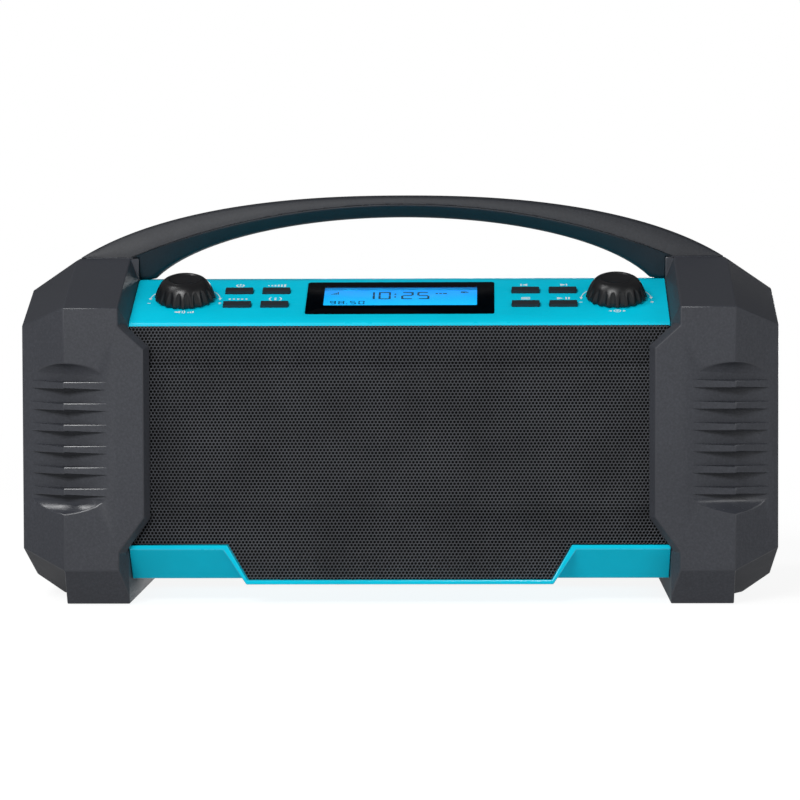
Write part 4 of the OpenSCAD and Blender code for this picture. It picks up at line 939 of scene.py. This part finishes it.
def plate(name, outlines, n0, n1, material, bevel=0.0):
    """Flat plate on the panel between two heights; later outlines are holes in the first."""
    bm = bmesh.new()
    loops = []
    for outline in outlines:
        verts = [bm.verts.new([c * MM for c in on_panel(u, v, n1)]) for u, v in outline]
        loops.append([bm.edges.new((verts[i], verts[(i + 1) % len(verts)]))
                      for i in range(len(verts))])
    made = bmesh.ops.triangle_fill(bm, use_beauty=True, use_dissolve=False,
                                   edges=[e for loop in loops for e in loop])
    faces = [g for g in made["geom"] if isinstance(g, bmesh.types.BMFace)]
    down = Vector(on_panel(0, 0, n0)) - Vector(on_panel(0, 0, n1))
    extruded = bmesh.ops.extrude_face_region(bm, geom=faces, use_keep_orig=True)
    lower = [g for g in extruded["geom"] if isinstance(g, bmesh.types.BMVert)]
    bmesh.ops.translate(bm, verts=lower, vec=down * MM)
    bmesh.ops.recalc_face_normals(bm, faces=bm.faces)
    mesh = bpy.data.meshes.new(name)
    bm.to_mesh(mesh)
    bm.free()
    obj = new_object(name, mesh, material)
    if bevel > 0:
        mod = obj.modifiers.new("rounded_edges", "BEVEL")
        mod.width = bevel * MM
        mod.segments = 2
        mod.limit_method = "ANGLE"
        mod.angle_limit = math.radians(60)
        bake(obj)
    shade(obj, 20)
    return obj


# strokes of a seven-stroke digit: which of top, upper right, lower right, bottom, lower left,
# upper left and middle are dark
DIGIT_STROKES = {"0": "1111110", "1": "0110000", "2": "1101101", "5": "1011011", "8": "1111111",
                 "9": "1111011"}


def digit_strokes(char, u, v, w, h, t):
    """Rectangles of one digit whose lower left corner is at u, v."""
    g = t * 0.25
    half = h / 2
    left, right, wide, tall = u + t / 2 + g, u + w - t, w - t - 2 * g, half - 2 * g
    boxes = [(left, v + h - t, wide, t), (right, v + half + g, t, tall), (right, v + g, t, tall),
             (left, v, wide, t), (u, v + g, t, tall), (u, v + half + g, t, tall),
             (left, v + half - t / 2, wide, t)]
    return [b for b, on in zip(boxes, DIGIT_STROKES[char]) if on == "1"]


def box_outline(u, v, w, h):
    return [(u, v), (u + w, v), (u + w, v + h), (u, v + h)]


def flat_marks(name, outlines, n0, n1, material):
    """Separate thin shapes on the panel, joined as one piece."""
    points, faces = [], []
    for outline in outlines:
        start, count = len(points), len(outline)
        points += [on_panel(u, v, n1) for u, v in outline]
        points += [on_panel(u, v, n0) for u, v in outline]
        faces.append([start + i for i in range(count)])
        faces.append([start + count + i for i in reversed(range(count))])
        for i in range(count):
            j = (i + 1) % count
            faces.append([start + i, start + count + i, start + count + j, start + j])
    mesh = mesh_of(name, points, faces)
    bm = bmesh.new()
    bm.from_mesh(mesh)
    bmesh.ops.recalc_face_normals(bm, faces=bm.faces)
    bm.to_mesh(mesh)
    bm.free()
    obj = new_object(name, mesh, material)
    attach(obj, "cabinet")
    return obj


def build_display():
    mid_v = LENS_V + LENS_H / 2
    frame_plate = plate("lens_frame", [round_rect(LENS_W, LENS_H, 1.8, 0, mid_v),
                                       round_rect(WINDOW_W, WINDOW_H, 0.6, 0, WINDOW_V)],
                        -1.0, 0.2, lens_black, 0.25)
    pane = plate("lens_window", [round_rect(WINDOW_W - 0.1, WINDOW_H - 0.1, 0.55, 0, WINDOW_V)],
                 -0.5, 0.1, window_clear)
    glass = plate("lcd_glass", [round_rect(WINDOW_W + 6, WINDOW_H + 5, 0.3, 0, WINDOW_V)],
                  -5.2, -3.02, lcd_blue)
    for obj in (frame_plate, pane, glass):
        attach(obj, "cabinet")
    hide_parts("display_lens")
    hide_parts("display_lens")
    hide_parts("display_glass")

    strokes = []
    clock_v, clock_h, clock_w = 40.6, 10.6, 6.6
    for char, u in zip("1025", (-20.6, -12.0, 0.2, 8.8)):
        strokes += digit_strokes(char, u, clock_v, clock_w, clock_h, 1.15)
    strokes += [(-3.6, clock_v + 2.6, 1.1, 1.6), (-3.6, clock_v + 6.6, 1.1, 1.6)]
    for char, u in zip("9850", (-38.0, -33.4, -27.2, -22.6)):
        strokes += digit_strokes(char, u, 33.2, 3.3, 4.9, 0.7)
    strokes += [(-29.2, 33.2, 0.8, 0.9)]
    for i in range(4):
        strokes.append((-37.6 + i * 1.1, 47.6, 0.7, 1.0 + i * 0.9))
    strokes += [(18.6, 48.2, 1.4, 1.4), (20.6, 48.2, 1.4, 1.4), (22.6, 48.2, 2.2, 1.4)]
    strokes += [(32.2, 49.6, 3.6, 0.5), (32.2, 51.2, 3.6, 0.5), (32.2, 49.6, 0.5, 2.1),
                (35.3, 49.6, 0.5, 2.1), (35.9, 50.2, 0.5, 0.9), (33.0, 50.3, 1.6, 0.7)]
    flat_marks("lcd_marks", [box_outline(*b) for b in strokes], -3.03, -2.96, lcd_dark)


build_display()


# ------------------------------------------------------------------ printed marks

def arc_band(cu, cv, r, width, a0, a1, steps=24):
    """Outline of an arc of the given width."""
    angles = [math.radians(a0 + (a1 - a0) * i / steps) for i in range(steps + 1)]
    outer, inner = ([(cu + ring * math.cos(a), cv + ring * math.sin(a)) for a in angles]
                    for ring in (r + width / 2, r - width / 2))
    return outer + inner[::-1]


def arc_strips(*args, **kw):
    """The same arc as short quads, which stay convex."""
    ring = arc_band(*args, **kw)
    n = len(ring) // 2
    return [[ring[i], ring[i + 1], ring[2 * n - 2 - i], ring[2 * n - 1 - i]] for i in range(n - 1)]


def print_marks():
    shapes = []
    ring_r, line = 18.7, 0.42
    for side in (-1, 1):
        cu = side * KNOB_X
        for way in (-1, 1):
            a0, a1 = (4, 66) if way > 0 else (176, 114)
            shapes += arc_strips(cu, KNOB_V, ring_r, line, a0, a1)
            tip = cu + way * ring_r
            shapes.append([(tip - 0.95, KNOB_V + 1.7), (tip, KNOB_V - 1.2),
                           (tip + 0.95, KNOB_V + 1.7)])
            u, v = cu + way * (ring_r + 0.2), KNOB_V - 5.6
            shapes.append(box_outline(u - 0.9, v - 0.3, 1.8, 0.6))
            if way > 0:
                shapes.append(box_outline(u - 0.26, v - 1.3, 0.52, 0.95))
                shapes.append(box_outline(u - 0.26, v + 0.35, 0.52, 0.95))
    # loudspeaker in front of the volume knob, ring and dot in front of the tuning knob
    u, v = -KNOB_X - 2.6, KNOB_V - 18.6
    shapes.append(box_outline(u - 1.6, v - 0.8, 1.4, 1.6))
    shapes.append([(u - 0.1, v - 0.8), (u + 1.4, v - 1.6), (u + 1.4, v + 1.6), (u - 0.1, v + 0.8)])
    for i, r in enumerate((2.6, 3.8)):
        shapes += arc_strips(u, v, r, 0.5, -32, 32, 8)
    for i in range(3):
        shapes.append(box_outline(u + 5.2 + i * 1.3, v - 1.4, 0.8, 1.2 + i * 0.8))
    u = KNOB_X
    shapes += arc_strips(u, v, 1.7, 0.5, 0, 360, 20)
    shapes += arc_strips(u, v, 0.35, 0.7, 0, 360, 10)
    for way in (-1, 1):
        shapes.append([(u + way * 3.0, v - 1.2), (u + way * 4.6, v), (u + way * 3.0, v + 1.2)])

    def mark(side, column, row, *parts):
        """Pictogram behind a button; its parts are drawn about its middle and then enlarged."""
        u = side * (BUTTON_X + column * BUTTON_PITCH)
        v = BUTTON_V + row * ROW_PITCH + BUTTON_H / 2 + 6.6
        shapes.extend([(u + 1.4 * a, v + 1.3 * b) for a, b in part] for part in parts)

    # power: broken ring with a stroke
    mark(-1, 1, 1, *arc_strips(0, 0, 1.4, 0.55, 125, 415, 16), box_outline(-0.3, 0.1, 0.6, 1.7))
    # source: overlapping bars
    mark(-1, 0, 1, *[box_outline(-3.6 + i * 1.25, -0.4 - 0.2 * i, 0.7, 0.8 + 0.4 * i)
                     for i in range(6)])
    # stored stations: row of dots
    mark(-1, 1, 0, *[box_outline(-3.6 + i * 1.6, -0.6, 0.8, 1.2) for i in range(5)])
    # information: a dot over a stroke, in a pair of brackets
    mark(-1, 0, 0, box_outline(-0.4, -1.3, 0.8, 1.6), box_outline(-0.4, 0.7, 0.8, 0.8),
         *arc_strips(0, 0, 2.3, 0.5, -50, 50, 10), *arc_strips(0, 0, 2.3, 0.5, 130, 230, 10))
    # previous and next
    mark(1, 0, 1, [(-1.3, 0), (0.8, -1.3), (0.8, 1.3)], box_outline(-1.9, -1.2, 0.5, 2.4))
    mark(1, 1, 1, [(-0.8, -1.3), (1.3, 0), (-0.8, 1.3)], box_outline(1.4, -1.2, 0.5, 2.4))
    # menu and play
    mark(1, 0, 0, *[box_outline(-1.7, -1.25 + i * 1.0, 3.4, 0.55) for i in range(3)])
    mark(1, 1, 0, [(-2.3, -1.3), (0.1, 0), (-2.3, 1.3)],
         box_outline(0.9, -1.2, 0.6, 2.4), box_outline(2.0, -1.2, 0.6, 2.4))
    flat_marks("panel_marks", shapes, -0.01, 0.035, white_ink)


print_marks()


# ------------------------------------------------------------------ rear pieces

moulded_copy("battery_door", "battery_door_moulding", rear_plastic, 0.4)
moulded_copy("socket_cover", "socket_cover_moulding", pad_rubber, 0.4, smooth=30)
moulded_copy("foot_pads", "foot_pad_mouldings", pad_rubber, 0.25)
moulded_copy("aerial_base", "aerial_base_moulding", dark_plastic, 0.3)


# ------------------------------------------------------------------ the rest of the CAD pieces

carried = [
    (surround_rubber, "speaker_gaskets left_speaker_surround right_speaker_surround"),
    (basket_paint, "left_speaker_frame right_speaker_frame"),
    (magnet_steel, "left_speaker_magnet right_speaker_magnet"),
    (cone_paper, "left_speaker_cone right_speaker_cone left_dust_cap right_dust_cap"),
    (copper, "left_voice_coil right_voice_coil"),
    (light_guide, "display_backlight volume_plunger tuning_plunger"),
    (board_green, "control_board main_board socket_board"),
    (dark_plastic, "key_switches power_socket audio_socket"),
    (turned_aluminium, "volume_shaft tuning_shaft"),
    (socket_metal, "volume_encoder tuning_encoder usb_socket"),
    (heatsink, "board_parts"),
    (sleeve_blue, "battery_pack"),
    (screw_steel, "aerial_ring case_screws cap_screws handle_screws speaker_screws small_screws"),
    (mast_rubber, "aerial_mast"),
]
for material, nodes in carried:
    for node in nodes.split():
        mesh = frame["nodes"][node].data
        mesh.materials.clear()
        mesh.materials.append(material)


# ------------------------------------------------------------------ studio

def studio():
    """White sweep that glows a little by itself, so that only a faint shadow stays on it."""
    floor_mesh = mesh_of("floor", [(-4000, -4000, 0), (4000, -4000, 0), (4000, 4000, 0),
                                   (-4000, 4000, 0)], [(0, 1, 2, 3)])
    floor_mat = bpy.data.materials.new("studio_floor")
    floor_mat.use_nodes = True
    tree = floor_mat.node_tree
    bsdf = tree.nodes["Principled BSDF"]
    bsdf.inputs["Base Color"].default_value = (0.22, 0.22, 0.22, 1)
    bsdf.inputs["Roughness"].default_value = 1.0
    bsdf.inputs["Specular IOR Level"].default_value = 0.0
    glow = tree.nodes.new("ShaderNodeLightPath")
    level = tree.nodes.new("ShaderNodeMapRange")
    level.inputs["To Min"].default_value = FLOOR_BOUNCE
    level.inputs["To Max"].default_value = FLOOR_SEEN
    tree.links.new(glow.outputs["Is Camera Ray"], level.inputs["Value"])
    where = tree.nodes.new("ShaderNodeTexCoord")
    length = tree.nodes.new("ShaderNodeVectorMath")
    length.operation = "LENGTH"
    tree.links.new(where.outputs["Object"], length.inputs[0])
    bsdf.inputs["Emission Color"].default_value = (1, 1, 1, 1)
    tree.links.new(level.outputs["Result"], bsdf.inputs["Emission Strength"])
    far = tree.nodes.new("ShaderNodeEmission")
    far.inputs["Strength"].default_value = 1.0
    fade = tree.nodes.new("ShaderNodeMapRange")
    fade.interpolation_type = "SMOOTHSTEP"
    fade.inputs["From Min"].default_value = 0.5
    fade.inputs["From Max"].default_value = 1.6
    tree.links.new(length.outputs["Value"], fade.inputs["Value"])
    mix = tree.nodes.new("ShaderNodeMixShader")
    tree.links.new(fade.outputs["Result"], mix.inputs["Fac"])
    tree.links.new(bsdf.outputs[0], mix.inputs[1])
    tree.links.new(far.outputs[0], mix.inputs[2])
    tree.links.new(mix.outputs[0], tree.nodes["Material Output"].inputs["Surface"])
    floor = new_object("floor", floor_mesh, floor_mat)
    world = bpy.data.worlds.new("studio")
    bpy.context.scene.world = world
    world.use_nodes = True
    nodes, links = world.node_tree.nodes, world.node_tree.links
    nodes.clear()
    out = nodes.new("ShaderNodeOutputWorld")
    soft, seen = nodes.new("ShaderNodeBackground"), nodes.new("ShaderNodeBackground")
    for white, strength in ((soft, SKY), (seen, 1.0)):
        white.inputs["Color"].default_value = (1, 1, 1, 1)
        white.inputs["Strength"].default_value = strength
    path = nodes.new("ShaderNodeLightPath")
    mix = nodes.new("ShaderNodeMixShader")
    links.new(path.outputs["Is Camera Ray"], mix.inputs["Fac"])
    links.new(soft.outputs[0], mix.inputs[1])
    links.new(seen.outputs[0], mix.inputs[2])
    links.new(mix.outputs[0], out.inputs["Surface"])

    for name, where, aim, size, power in LAMPS:
        data = bpy.data.lights.new(name, "AREA")
        data.shape = "RECTANGLE"
        data.size, data.size_y = size
        data.energy = power
        obj = bpy.data.objects.new(name, data)
        obj.location = where
        obj.rotation_euler = (Vector(aim) - Vector(where)).to_track_quat("-Z", "Y").to_euler()
        bpy.context.scene.collection.objects.link(obj)
    bpy.context.scene.view_settings.view_transform = "Standard"


# light the floor shows to the camera and gives to the part, and light of the room
FLOOR_SEEN, FLOOR_BOUNCE, SKY = 0.89, 0.33, 0.11
# name, place, aim, size and power
LAMPS = [
    ("front_softbox", (-0.75, -2.4, 1.4), (0, 0, 0.1), (1.2, 0.8), 50),
    ("right_softbox", (1.7, -1.3, 0.8), (0, 0, 0.1), (0.9, 0.9), 7),
    ("left_softbox", (-1.15, -0.6, 1.6), (0, 0, 0.1), (0.35, 0.8), 9),
    ("rear_softbox", (0.6, 2.4, 0.25), (0, 0, 0.1), (1.6, 0.4), 26),
]
studio()
